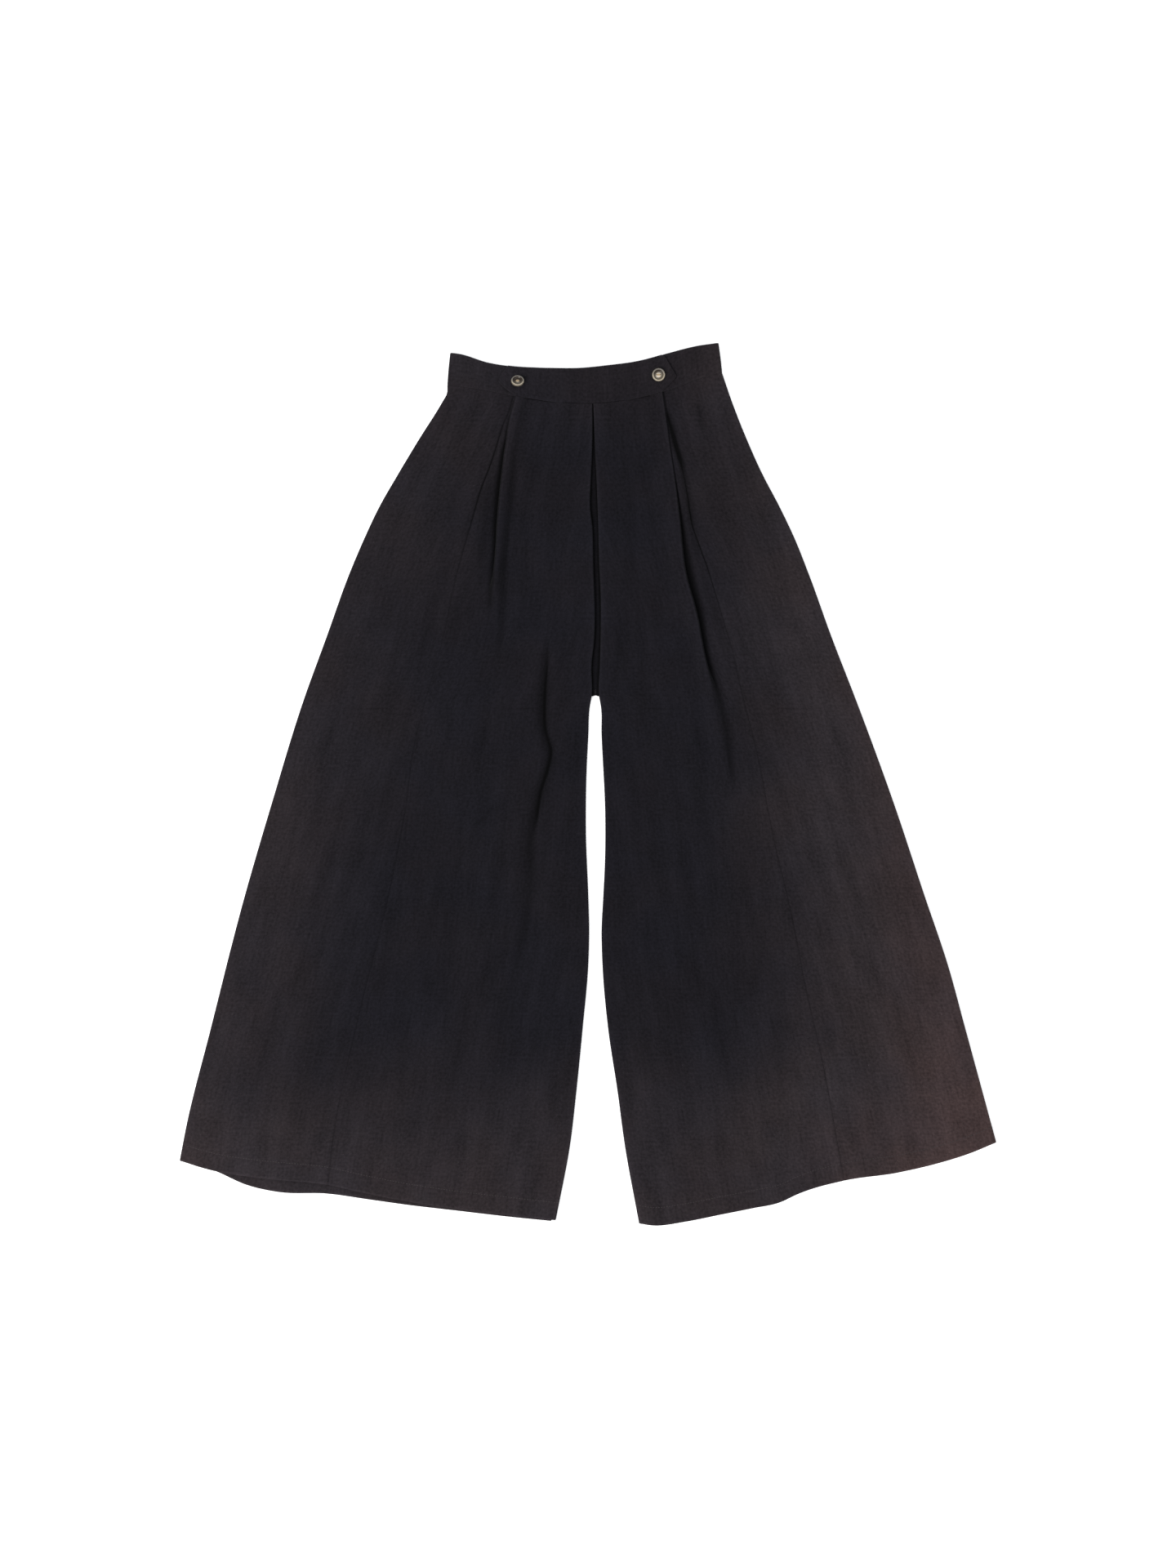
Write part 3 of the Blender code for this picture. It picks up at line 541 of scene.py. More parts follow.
def relief(leg: Leg, station: float, reach: Array, inner: float, outer: float, seam: float) -> Array:
    """How far the front cloth stands above its pressed level, with creases, waves, seams, hem and edges.

    Args:
        leg: The leg.
        station: The nominal drop.
        reach: The points' reaches.
        inner: The reach of the leg's inner edge.
        outer: The reach of its outer edge.
        seam: The reach of its side-front seam.

    Returns:
        The height at each point.
    """
    drop = leg.drop_at(station, reach, leg.hem)
    height = puff_at(station) + sum(crease.rise * crease.share(drop, reach) for crease in leg.creases)
    height = height + sum(rumple.height(drop, reach) for rumple in leg.rumples)
    height = np.logaddexp(0.0, height / SOFT_FLOOR) * SOFT_FLOOR
    height = HIGHEST_RELIEF - np.logaddexp(0.0, (HIGHEST_RELIEF - height) / SOFT_FLOOR) * SOFT_FLOOR
    turned_up = HEM_DROP - HEM_DEPTH
    height = height + HEM_RAISE * smoothstep(turned_up - HEM_RAISE_FADE, turned_up, station)
    off_stitch = station - STITCH_STATION
    height = height - STITCH_DIP * bell(off_stitch / STITCH_DIP_WIDTH)
    drift = PUCKER_DRIFT * np.sin(reach / PUCKER_DRIFT_REACH)
    pucker = np.sin(2.0 * math.pi * reach / PUCKER_PITCH + drift)
    height = height + PUCKER_HEIGHT * bell(off_stitch / PUCKER_REACH) * pucker
    dip = SEAM_DIP * (SEAM_DIP_LEAST + (1.0 - SEAM_DIP_LEAST) * straight(leg.seam_shade, station))
    height = height - dip * bell((reach - seam) / SEAM_WIDTH)
    at_inner_edge = smoothstep(CROTCH_DROP - CROTCH_FADE, CROTCH_DROP, station) * (
        1.0 - smoothstep(inner, inner + EDGE_SETTLE, reach)
    )
    at_outer_edge = 1.0 - smoothstep(outer - EDGE_SETTLE, outer, reach)
    return np.maximum(height, 0.0) * (1.0 - at_inner_edge) * at_outer_edge


def light_of(leg: Leg, station: float, reach: Array, seam: float) -> Array:
    """How much light reaches the front cloth: less in its deep creases and along its side-front seam.

    Args:
        leg: The leg.
        station: The nominal drop.
        reach: The points' reaches.
        seam: The reach of the leg's side-front seam.

    Returns:
        The share of the light at each point.
    """
    drop = leg.drop_at(station, reach, leg.hem)
    shade = sum(crease.shade * crease.share(drop, reach) ** 2 for crease in leg.creases)
    shade = shade + straight(leg.seam_shade, station) * bell((reach - seam) / SEAM_SHADE_WIDTH)
    return np.clip(1.0 - shade, 0.0, 1.0)


def walk(heading: float, moves: list[tuple[float, float, int]]) -> Array:
    """Points (along, up) of a path of moves.

    Args:
        heading: The first direction, in radians.
        moves: Each move's length, turn in radians, upwards positive, and number of steps.

    Returns:
        The path's points, from the origin.
    """
    place = np.zeros(2)
    points = [place]
    for length, turn, steps in moves:
        bend = turn / steps
        shortening = math.sin(bend / 2) / (bend / 2) if abs(bend) > 1e-9 else 1.0
        for _ in range(steps):
            middle = heading + bend / 2
            place = place + length / steps * shortening * np.array((math.cos(middle), math.sin(middle)))
            heading += bend
            points.append(place)
    return np.array(points)


def folded_edge(
    start: float, edge: float, heading: float, turn: float, lap: float, arc_in: float, arc_out: float, run: float,
    near_steps: int, run_steps: int,
) -> Array:
    """Cloth from its seam, under a fold and round the fold's visible edge.

    Args:
        start: Where the cloth starts.
        edge: How far out the middle of the fold lies.
        heading: The cloth's first direction.
        turn: How far it turns back on itself.
        lap: The width folded under.
        arc_in: The hidden turn's length.
        arc_out: The visible turn's length.
        run: The width before the hidden turn, or 0 for what starts the cloth at start.
        near_steps: The number of short steps beside the seam.
        run_steps: The number of steps in the rest of the run.

    Returns:
        (distance, height) points, the last of them over the fold at height 0.
    """
    moves = [
        (0.0, 0.0, 1),
        (0.0, 0.0, 1),
        (arc_in, turn - heading, HIDDEN_STEPS),
        (lap, 0.0, LAP_STEPS),
        (arc_out, -turn, VISIBLE_STEPS),
    ]
    fold_middle = -1 - VISIBLE_STEPS // 2
    if not run:
        reached = walk(heading, moves)[fold_middle, 0]
        run = (edge - start - reached) * math.cos(heading)
    near = min(NEAR_SEAM, run / 2)
    moves[:2] = [(near, 0.0, near_steps), (run - near, 0.0, run_steps)]
    points = walk(heading, moves)
    return points + np.array((edge - points[fold_middle, 0], -points[-1, 1]))


@dataclass
class Section:
    """A cut across a panel: its middle line, the share of light painted into the cloth's colour as painted shade,
    and how worn the cloth is, at each point.
    """

    points: Array
    painted_light: Array
    worn: Array


@dataclass
class Shell:
    """A closed wall of cloth, gathered as rows of points from the top of the piece to its foot."""

    name: str
    rings: list[Array] = field(default_factory=list)
    grids: list[Array] = field(default_factory=list)
    wears: list[Array] = field(default_factory=list)

    def add(self, face: Array, back: Array, grid: Array, worn: Array) -> None:
        """Adds a row.

        Args:
            face: The row's points on one face, in millimetres.
            back: Its points on the other.
            grid: Each point's distance across and down the cloth, and the share of light painted into its colour,
                whose lack is painted shade.
            worn: How worn the cloth is at each point.
        """
        self.rings.append(np.concatenate([face, back[::-1]]) * MM)
        self.grids.append(np.concatenate([grid, grid[::-1]]))
        self.wears.append(np.concatenate([worn, worn[::-1]]))

    def build(self, finish: bpy.types.Material, slot: str) -> bpy.types.Object:
        """Makes the shell an object.

        Args:
            finish: Its material.
            slot: Not used.

        Returns:
            The object, riding on the body.
        """
        points = np.concatenate(self.rings)
        count, rows = len(self.rings[0]), len(self.rings)
        here = np.arange(count)
        after = (here + 1) % count
        starts = np.arange(rows - 1)[:, None] * count
        walls = np.stack([starts + here, starts + after, starts + count + after, starts + count + here], axis=-1)
        k = np.arange(count // 2 - 1)
        cap = np.column_stack([k, k + 1, count - 2 - k, count - 1 - k])
        faces = np.concatenate([walls.reshape(-1, 4), cap[:, ::-1], cap + (rows - 1) * count])
        corner = points[faces]
        first, second = corner[:, 2] - corner[:, 0], corner[:, 3] - corner[:, 1]
        if (np.cross(first, second) * corner.mean(axis=1)).sum() < 0:
            faces = faces[:, ::-1]
        mesh = bpy.data.meshes.new(self.name)
        mesh.from_pydata(points.tolist(), [], faces.tolist())
        grid = mesh.attributes.new("cloth_grid", "FLOAT_VECTOR", "POINT")
        grid.data.foreach_set("vector", np.concatenate(self.grids).astype(np.float32).ravel())
        worn = mesh.attributes.new("cloth_wear", "FLOAT", "POINT")
        worn.data.foreach_set("value", np.concatenate(self.wears).astype(np.float32))
        mesh.shade_smooth()
        mesh.set_sharp_from_angle(angle=math.radians(CLOTH_SHARP_ANGLE))
        return add_piece(self.name, mesh, finish)


def add_object(name: str, data: bpy.types.ID) -> bpy.types.Object:
    """Puts new data in the scene as an object."""
    made = bpy.data.objects.new(name, data)
    bpy.context.scene.collection.objects.link(made)
    return made


def add_piece(name: str, mesh: bpy.types.Mesh, finish: bpy.types.Material) -> bpy.types.Object:
    """Puts a finished mesh in the scene.

    Args:
        name: The piece's name.
        mesh: Its mesh, in metres and in place.
        finish: Its material.

    Returns:
        The object, riding on the body.
    """
    mesh.materials.clear()
    mesh.materials.append(finish)
    piece = add_object(name, mesh)
    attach(piece, "root")
    log.info("%s: %d faces", name, len(mesh.polygons))
    return piece


def face_and_back(points: Array, wall: float) -> tuple[Array, Array]:
    """The two faces of a wall of cloth round its middle line.

    Args:
        points: The middle line.
        wall: The thickness.

    Returns:
        The points on either face.
    """
    tangent = np.gradient(points, axis=0)
    tangent[0] = points[1] - points[0]
    tangent[-1] = points[-1] - points[-2]
    tangent /= np.linalg.norm(tangent, axis=1)[:, None]
    outward = np.column_stack([-tangent[:, 1], tangent[:, 0]]) * wall / 2
    return points + outward, points - outward


@dataclass(frozen=True)
class Panel:
    """One panel of a leg: a thin shell lofted through its sections. cut: its flat width, length and area, not used.
    """

    leg: Leg
    kind: Kind
    cut: tuple[float, float, float]

    @property
    def name(self) -> str:
        """The panel's name, from its kind and leg."""
        return f"{self.kind.value}_panel_{self.leg.name}"

    @property
    def node(self) -> str:
        """The solid that the panel stands for."""
        return f"{self.kind.value}_{self.leg.name}"

    @property
    def hem(self) -> Table:
        """The hem that the panel ends in."""
        return self.leg.back_hem if self.kind is Kind.BACK else self.leg.hem

    def section(self, station: float) -> Section:
        """The panel's cut at a station."""
        return {Kind.FRONT: self.front, Kind.SIDE: self.side, Kind.BACK: self.back}[self.kind](station)

    def front(self, station: float) -> Section:
        """The front panel, from the centre front to the side-front seam.

        Args:
            station: The nominal drop.

        Returns:
            Its section.
        """
        leg = self.leg
        wall = wall_at(station)
        inner, seam, fold, outer = (
            leg.reach_of(curve, station, leg.hem) for curve in (leg.inner, leg.seam, leg.fold, leg.outer)
        )
        centre = row_of(CENTRE_FOLD, CENTRE_FOLD_COLUMNS, station)
        start = leg.side.value * float(along(CENTRE_SEAM, station)) + HIDDEN_SEAM
        if station > CROTCH_DROP:
            start = inner + EDGE_RETURN
        centre_edge = folded_edge(
            start, inner + wall / 2, math.radians(centre["start"]), math.pi, centre["lap"], centre["arc"],
            math.pi * centre["radius"], centre["run"], 1, HIDDEN_STEPS,
        )
        centre_top = centre["top"] + (wall - WALL) / 2

        side = row_of(SIDE_FOLD, SIDE_FOLD_COLUMNS, station - leg.opens)
        turn = math.radians(side["turn"])
        pleat = max(seam - fold, LEAST_PLEAT)
        side_edge = folded_edge(
            HALF_SEAM, pleat + wall / 2, 0.0, turn, side["lap"], side["arc_in"], side["arc_out"], 0.0,
            NEAR_STEPS, RUN_STEPS,
        )
        side_top = FRONT_LEVEL - side_edge[0, 1]

        first = centre_edge[-1, 0]
        last = seam - side_edge[-1, 0]
        top = first + (last - first) * np.linspace(0.0, 1.0, TOP_STEPS + 1)[1:-1]
        from_centre = centre["lap"] + LIFT_MARGIN
        from_side = side["lap"] * ROLL_START
        height = FRONT_LEVEL + (centre_top - FRONT_LEVEL) * (
            1.0 - smoothstep(from_centre, from_centre + LIFT_FALL, top - first)
        )
        height = height + (side_top - FRONT_LEVEL) * (
            1.0 - smoothstep(from_side, from_side + ROLL_FALL, last - top)
        )
        points = np.concatenate([
            centre_edge + (0.0, centre_top),
            np.column_stack([top, height]),
            (side_edge * (-1.0, 1.0) + (seam, side_top))[::-1],
        ])
        height = relief(leg, station, points[:, 0], inner, outer, seam)

        # Under the side pleat the cloth has no creases of its own, so that its layers stay apart
        closed = turn / math.pi
        to_fold = np.clip((seam - points[:, 0]) / pleat, 0.0, 1.0)
        in_pleat = height[-1] + (puff_at(station) - height[-1]) * to_fold
        under = np.zeros(len(points))
        half_turn = VISIBLE_STEPS // 2 + 1
        under[-len(side_edge):] = 1.0
        under[-len(side_edge):][:half_turn] = np.linspace(0.0, 1.0, half_turn)
        height += (in_pleat - height) * under * closed
        past_fold = points[:, 0] - fold
        gap = float(straight(leg.fold_gap, station))
        bulge = smoothstep(UNDERLAY_START * gap, gap + UNDERLAY_MARGIN, past_fold)
        bulge = bulge * (1.0 - smoothstep(UNDERLAY_END, 1.0, 1.0 - to_fold))
        wide = min((seam - fold) / UNDERLAY_WIDTH, 1.0)
        height += UNDERLAY_RISE * wide * bulge * (under == 1.0) * closed
        points[:, 1] += height

        # Painted shade: the share of light painted into the cloth's colour drops in deep creases, along the seam,
        # inside the centre pleat and in the side pleat's gap
        painted_light = light_of(leg, station, points[:, 0], seam)
        inside = len(centre_edge) - VISIBLE_STEPS // 2
        painted_light[:inside] = PLEAT_LIGHT * smoothstep(0.0, PLEAT_LIGHT_REACH, inner - points[:inside, 0])
        in_gap = 1.0 - smoothstep(FOLD_SHADE_START * gap, gap, past_fold)
        painted_light *= 1.0 - closed * under * in_gap * FOLD_SHADE
        worn = np.exp(-np.abs(points[:, 0] - first) / FOLD_WEAR_REACH) * (points[:, 1] > FRONT_LEVEL)
        worn += closed * np.exp(-np.abs(points[:, 0] - last) / FOLD_WEAR_REACH) * (1.0 - under)
        return Section(points, painted_light, worn)

    def side(self, station: float) -> Section:
        """The side panel, from its seam to the return under the outer edge.

        Args:
            station: The nominal drop.

        Returns:
            Its section.
        """
        leg = self.leg
        wall = wall_at(station)
        inner, seam, outer = (leg.reach_of(curve, station, leg.hem) for curve in (leg.inner, leg.seam, leg.outer))
        turn_starts = outer - wall / 2 - EDGE_RADIUS
        top_level = wall / 2 + 2 * EDGE_RADIUS
        near = seam + HALF_SEAM + np.linspace(0.0, NEAR_SEAM, NEAR_STEPS + 1)
        run = np.concatenate([near[:-1], np.linspace(near[-1], turn_starts, SIDE_STEPS + 1)])
        settle = smoothstep(0.0, EDGE_SETTLE, turn_starts - run)
        points = np.column_stack([run, top_level + (FRONT_LEVEL - top_level) * settle])
        under = EDGE_RETURN - wall / 2 - EDGE_RADIUS
        turned = walk(0.0, [(math.pi * EDGE_RADIUS, -math.pi, VISIBLE_STEPS), (under, 0.0, CURL_STEPS)])
        points = np.concatenate([points, turned[1:] + (turn_starts, top_level)])
        points[:, 1] += relief(leg, station, points[:, 0], inner, turn_starts, seam)
        worn = np.exp(-np.abs(points[:, 0] - turn_starts - EDGE_RADIUS) / EDGE_WEAR_REACH)
        return Section(points, light_of(leg, station, points[:, 0], seam), worn)

    def back(self, station: float) -> Section:
        """The back panel: flat on the table, between the edges that curl under.

        Args:
            station: The nominal drop.

        Returns:
            Its section.
        """
        leg = self.leg
        outer = leg.reach_of(leg.outer, station, leg.back_hem) - EDGE_RETURN - GAP
        inner = HIDDEN_SEAM
        if station > BACK_CROTCH_START:
            inner = max(leg.reach_of(leg.inner, station, leg.back_hem) + EDGE_RETURN + GAP, CROTCH_CLEARANCE)
        run = inner + (outer - inner) * np.linspace(0.0, 1.0, BACK_STEPS + 1)
        points = np.column_stack([run, np.full(len(run), wall_at(station) / 2)])
        return Section(points, np.ones(len(points)), np.zeros(len(points)))

    def build(self, finish: bpy.types.Material) -> bpy.types.Object:
        """Lofts the panel.

        Args:
            finish: The cloth.

        Returns:
            The panel's object.
        """
        shell = Shell(self.name)
        for station in ROWS.tolist():
            section = self.section(station)
            length = np.concatenate([[0.0], np.cumsum(np.linalg.norm(np.diff(section.points, axis=0), axis=1))])
            worn = section.worn + float(smoothstep(HEM_DROP - HEM_WEAR_DEPTH, HEM_DROP, station))
            rows = []
            for line in face_and_back(section.points, wall_at(station)):
                drop = self.leg.drop_at(station, line[:, 0], self.hem)
                rows.append(placed(self.leg.side.value * line[:, 0], drop, line[:, 1]))
            drop = self.leg.drop_at(station, section.points[:, 0], self.hem)
            grid = np.column_stack([(length - length[-1] / 2) * MM, drop * MM, section.painted_light])
            shell.add(rows[0], rows[1], grid, np.clip(worn, 0.0, 1.0))
        return shell.build(finish, "cloth")

    def stitch_path(self) -> Array:
        """The hem's stitch line on the outside of the cloth, in metres."""
        section = self.section(STITCH_STATION)
        face, back = face_and_back(section.points, wall_at(STITCH_STATION))
        line = back if self.kind is Kind.BACK else face
        seen = np.ones(len(line), bool)
        if self.kind is Kind.FRONT:
            seen[: 1 + 2 * HIDDEN_STEPS + LAP_STEPS + VISIBLE_STEPS] = False
        if self.kind is Kind.SIDE:
            seen[-VISIBLE_STEPS:] = False
        line = line[seen]
        drop = self.leg.drop_at(STITCH_STATION, line[:, 0], self.hem)
        return placed(self.leg.side.value * line[:, 0], drop, line[:, 1]) * MM


@dataclass(frozen=True)
class Waistband:
    """The band from tab to tab round the back, and the front band whose two tabs lap over it."""

    back_level: float = BAND_WALL / 2
    side_level: float = BAND_WALL + GAP + BAND_WALL / 2
    front_level: float = 4.8
    round_edge: float = 1.0
    round_steps: int = 5
    round_share: float = 0.2
    most_inset: float = 0.4
    flat_steps: int = 13
    wear_reach: float = 0.8
    middle_puff: float = 0.25
    front_steps: int = 39
    turn_steps: int = 12
    back_steps: int = 119
    back_cut: tuple[float, float, float] = (0.55, 0.045, 0.0218)
    front_cut: tuple[float, float, float] = (0.22, 0.05, 0.0092)
    ends: tuple[float, float] = (-83.5, 66.5)
    edge_seam: tuple[float, float] = (-181.5, 155.5)
    edge_top: tuple[float, float] = (-178.0, 151.0)
    right_tab: Table = ((-119, 41.5, 48), (-115.5, 36, 52), (-108.5, 27.5, 58), (-95, 17, 67), (-82, 17, 80))
    left_tab: Table = ((65, 3, 80), (82, 13, 60.8), (89, 19, 53), (96, 31, 46), (99.5, 36, 41.5))
    right_lift: tuple[float, float] = (-82.0, -60.0)
    left_lift: tuple[float, float] = (65.0, 42.0)
    end_rows: tuple[float, ...] = (0.0, 0.15, 0.4, 0.8, 1.5)
    end_walls: Table = ((0.0, 0.35), (0.15, 0.6), (0.4, 0.85), (0.8, 1.0))
    row_starts: float = 3.0
    row_ends: float = 2.5
    row_pitch: float = 2.4

    @property
    def tab_level(self) -> float:
        """The height of the tabs' middle."""
        return self.side_level + BAND_WALL + GAP

    def edges(self, across: float) -> tuple[tuple[float, float], tuple[float, float]]:
        """The (across, drop) of the band's lower and upper edge where its lower edge is this far across."""
        side = 0 if across < 0 else 1
        upper = across * self.edge_top[side] / self.edge_seam[side]
        return (across, float(along(WAIST_SEAM, across)) - SEAM_GAP), (upper, float(along(BAND_TOP, upper)))

    def add_ring(
        self,
        shell: Shell,
        lower: tuple[float, float],
        upper: tuple[float, float],
        level: float,
        place: float,
        normal: tuple[float, float] = (0.0, 1.0),
        wall: float = BAND_WALL,
    ) -> None:
        """Adds the band's section across its width to a shell.

        Args:
            shell: The shell.
            lower: The lower edge's (across, drop).
            upper: The upper edge's.
            level: The height of the band's middle.
            place: The section's distance along the band.
            normal: The band's outward direction in X and Z.
            wall: The band's thickness.
        """
        lower, upper = np.array(lower, float), np.array(upper, float)
        width = float(np.linalg.norm(upper - lower))
        inset = min(self.round_edge / width, self.most_inset)
        quarter = np.linspace(0.0, math.pi / 2, self.round_steps + 1)
        start = inset * (1.0 - np.cos(quarter))
        flat = np.linspace(inset, 1 - inset, self.flat_steps + 1)[1:-1]
        shares = np.concatenate([start, flat, 1 - start[::-1]])
        rounded = np.sin(quarter) * (1.0 - self.round_share) + self.round_share
        up = np.concatenate([rounded, np.ones(len(flat)), rounded[::-1]])
        puff = self.middle_puff * np.sin(math.pi * shares) ** 2
        middle = lower + (upper - lower) * shares[:, None]
        rows = []
        for sign in (1.0, -1.0):
            offset = sign * up * wall / 2 + (puff if sign > 0 else 0.0)
            rows.append(placed(middle[:, 0] + normal[0] * offset, middle[:, 1], level + normal[1] * offset))
        grid = np.column_stack([np.full(len(shares), place * MM), shares * width * MM, np.ones(len(shares))])
        edge = np.minimum(shares, 1.0 - shares) * width
        shell.add(rows[0], rows[1], grid, np.exp(-edge / self.wear_reach))

    def build_back(self, finish: bpy.types.Material) -> bpy.types.Object:
        """The band from under the right tab, round the right side, across the back and to the left tab."""
        radius = (self.side_level - self.back_level) / 2
        middle = (self.side_level + self.back_level) / 2
        # Stops on the way: distance across, height, and the band's outward direction
        stops = []
        corners = []
        for sign, seam, end in zip((-1, 1), self.edge_seam, self.ends):
            corner = seam - sign * (BAND_WALL / 2 + radius)
            corners.append(corner)
            half = [(x, self.side_level, (0.0, 1.0)) for x in np.linspace(end, corner, self.front_steps + 1)[:-1]]
            bend = [(math.sin(a), math.cos(a)) for a in np.linspace(0.0, math.pi, self.turn_steps + 1)]
            half += [(corner + sign * radius * out, middle + radius * up, (sign * out, up)) for out, up in bend]
            stops.append(half)
        back = np.linspace(*corners, self.back_steps + 1)[1:-1]
        stops = stops[0] + [(x, self.back_level, (0.0, -1.0)) for x in back] + stops[1][::-1]
        shell = Shell("waistband_side_and_back")
        place = 0.0
        before = stops[0]
        for x, level, normal in stops:
            place += math.hypot(x - before[0], level - before[1])
            before = (x, level, normal)
            lower, upper = self.edges(float(x))
            self.add_ring(shell, lower, upper, level, place, normal)
        return shell.build(finish, "cloth")

    def build_front(self, finish: bpy.types.Material) -> bpy.types.Object:
        """The front band with a blunt-pointed tab at each end, raised where the tabs lap over."""
        first, last = self.right_tab[0][0], self.left_tab[-1][0]
        shell = Shell("waistband_tabbed_front")
        stops = np.unique(np.concatenate([
            first + np.array(self.end_rows),
            np.arange(first + self.row_starts, last - self.row_ends, self.row_pitch),
            last - np.array(self.end_rows),
            [row[0] for row in self.right_tab + self.left_tab],
        ]))
        for x in stops:
            lower, upper = self.edges(float(x))
            lift = 1.0
            for tab, (tab_end, settled) in ((self.right_tab, self.right_lift), (self.left_tab, self.left_lift)):
                if tab[0][0] <= x <= tab[-1][0]:
                    upper = (upper[0], max(upper[1], float(straight(tab, x))))
                    lower = (lower[0], min(lower[1], float(straight(tab, x, 2))))
                    lift = 0.0
                elif min(tab_end, settled) < x < max(tab_end, settled):
                    lift = float(smoothstep(0.0, 1.0, (x - tab_end) / (settled - tab_end)))
            level = self.tab_level + (self.front_level - self.tab_level) * lift
            wall = BAND_WALL * float(straight(self.end_walls, min(x - first, last - x)))
            self.add_ring(shell, lower, upper, level, float(x), wall=wall)
        return shell.build(finish, "cloth")


def enabled(sockets: "bpy.types.bpy_prop_collection", name: str | None = None) -> bpy.types.NodeSocket:
    """The first socket in use, of this name if one is given."""
    return next(socket for socket in sockets if socket.enabled and name in (None, socket.name))


def add_node(
    tree: bpy.types.NodeTree, kind: str, settings: dict | None = None, inputs: dict | None = None
) -> bpy.types.Node:
    """Adds a node to a tree.

    Args:
        tree: The tree.
        kind: The node's type.
        settings: What is set on the node, first.
        inputs: Values or sockets by the name or number of the input that takes them.

    Returns:
        The node.
    """
    made = tree.nodes.new(kind)
    for key, value in (settings or {}).items():
        setattr(made, key, value)
    for key, value in (inputs or {}).items():
        target = made.inputs[key] if isinstance(key, int) else enabled(made.inputs, key)
        if isinstance(value, bpy.types.NodeSocket):
            tree.links.new(value, target)
        else:
            target.default_value = value
    return made


@dataclass(frozen=True)
class Clouds:
    """Noise over a plane: its scale along the plane's axes, its shift within the noise, and its octaves."""

    scale: tuple[float, float]
    shift: tuple[float, float, float] = (0.0, 0.0, 0.0)
    detail: float = 3.0


@dataclass(frozen=True)
class PaintedLightRamp:
    """A ramp of painted light, a lighter and warmer colour, that starts where x and y in metres, each times its
    share, add up to low, and is full at high.

    wander is how far noise shifts it, and strength is how much it adds in full.
    """

    x: float
    y: float
    wander: float
    low: float
    high: float
    strength: float


class Wire:
    """A socket in a shader's sums. Python's operators on it add Math nodes."""

    def __init__(self, sums: "ShaderSums", socket: bpy.types.NodeSocket) -> None:
        """Keeps the socket and the tree that it is in."""
        self.sums = sums
        self.socket = socket

    def __add__(self, other: "Wire | float") -> "Wire":
        """This plus the other."""
        return self.sums.math("ADD", self, other)

    __radd__ = __add__

    def __mul__(self, other: "Wire | float") -> "Wire":
        """This times the other."""
        return self.sums.math("MULTIPLY", self, other)

    __rmul__ = __mul__

    def __sub__(self, other: "Wire | float") -> "Wire":
        """This less the other."""
        return self.sums.math("SUBTRACT", self, other)

    def __rsub__(self, other: "Wire | float") -> "Wire":
        """The other less this."""
        return self.sums.math("SUBTRACT", other, self)


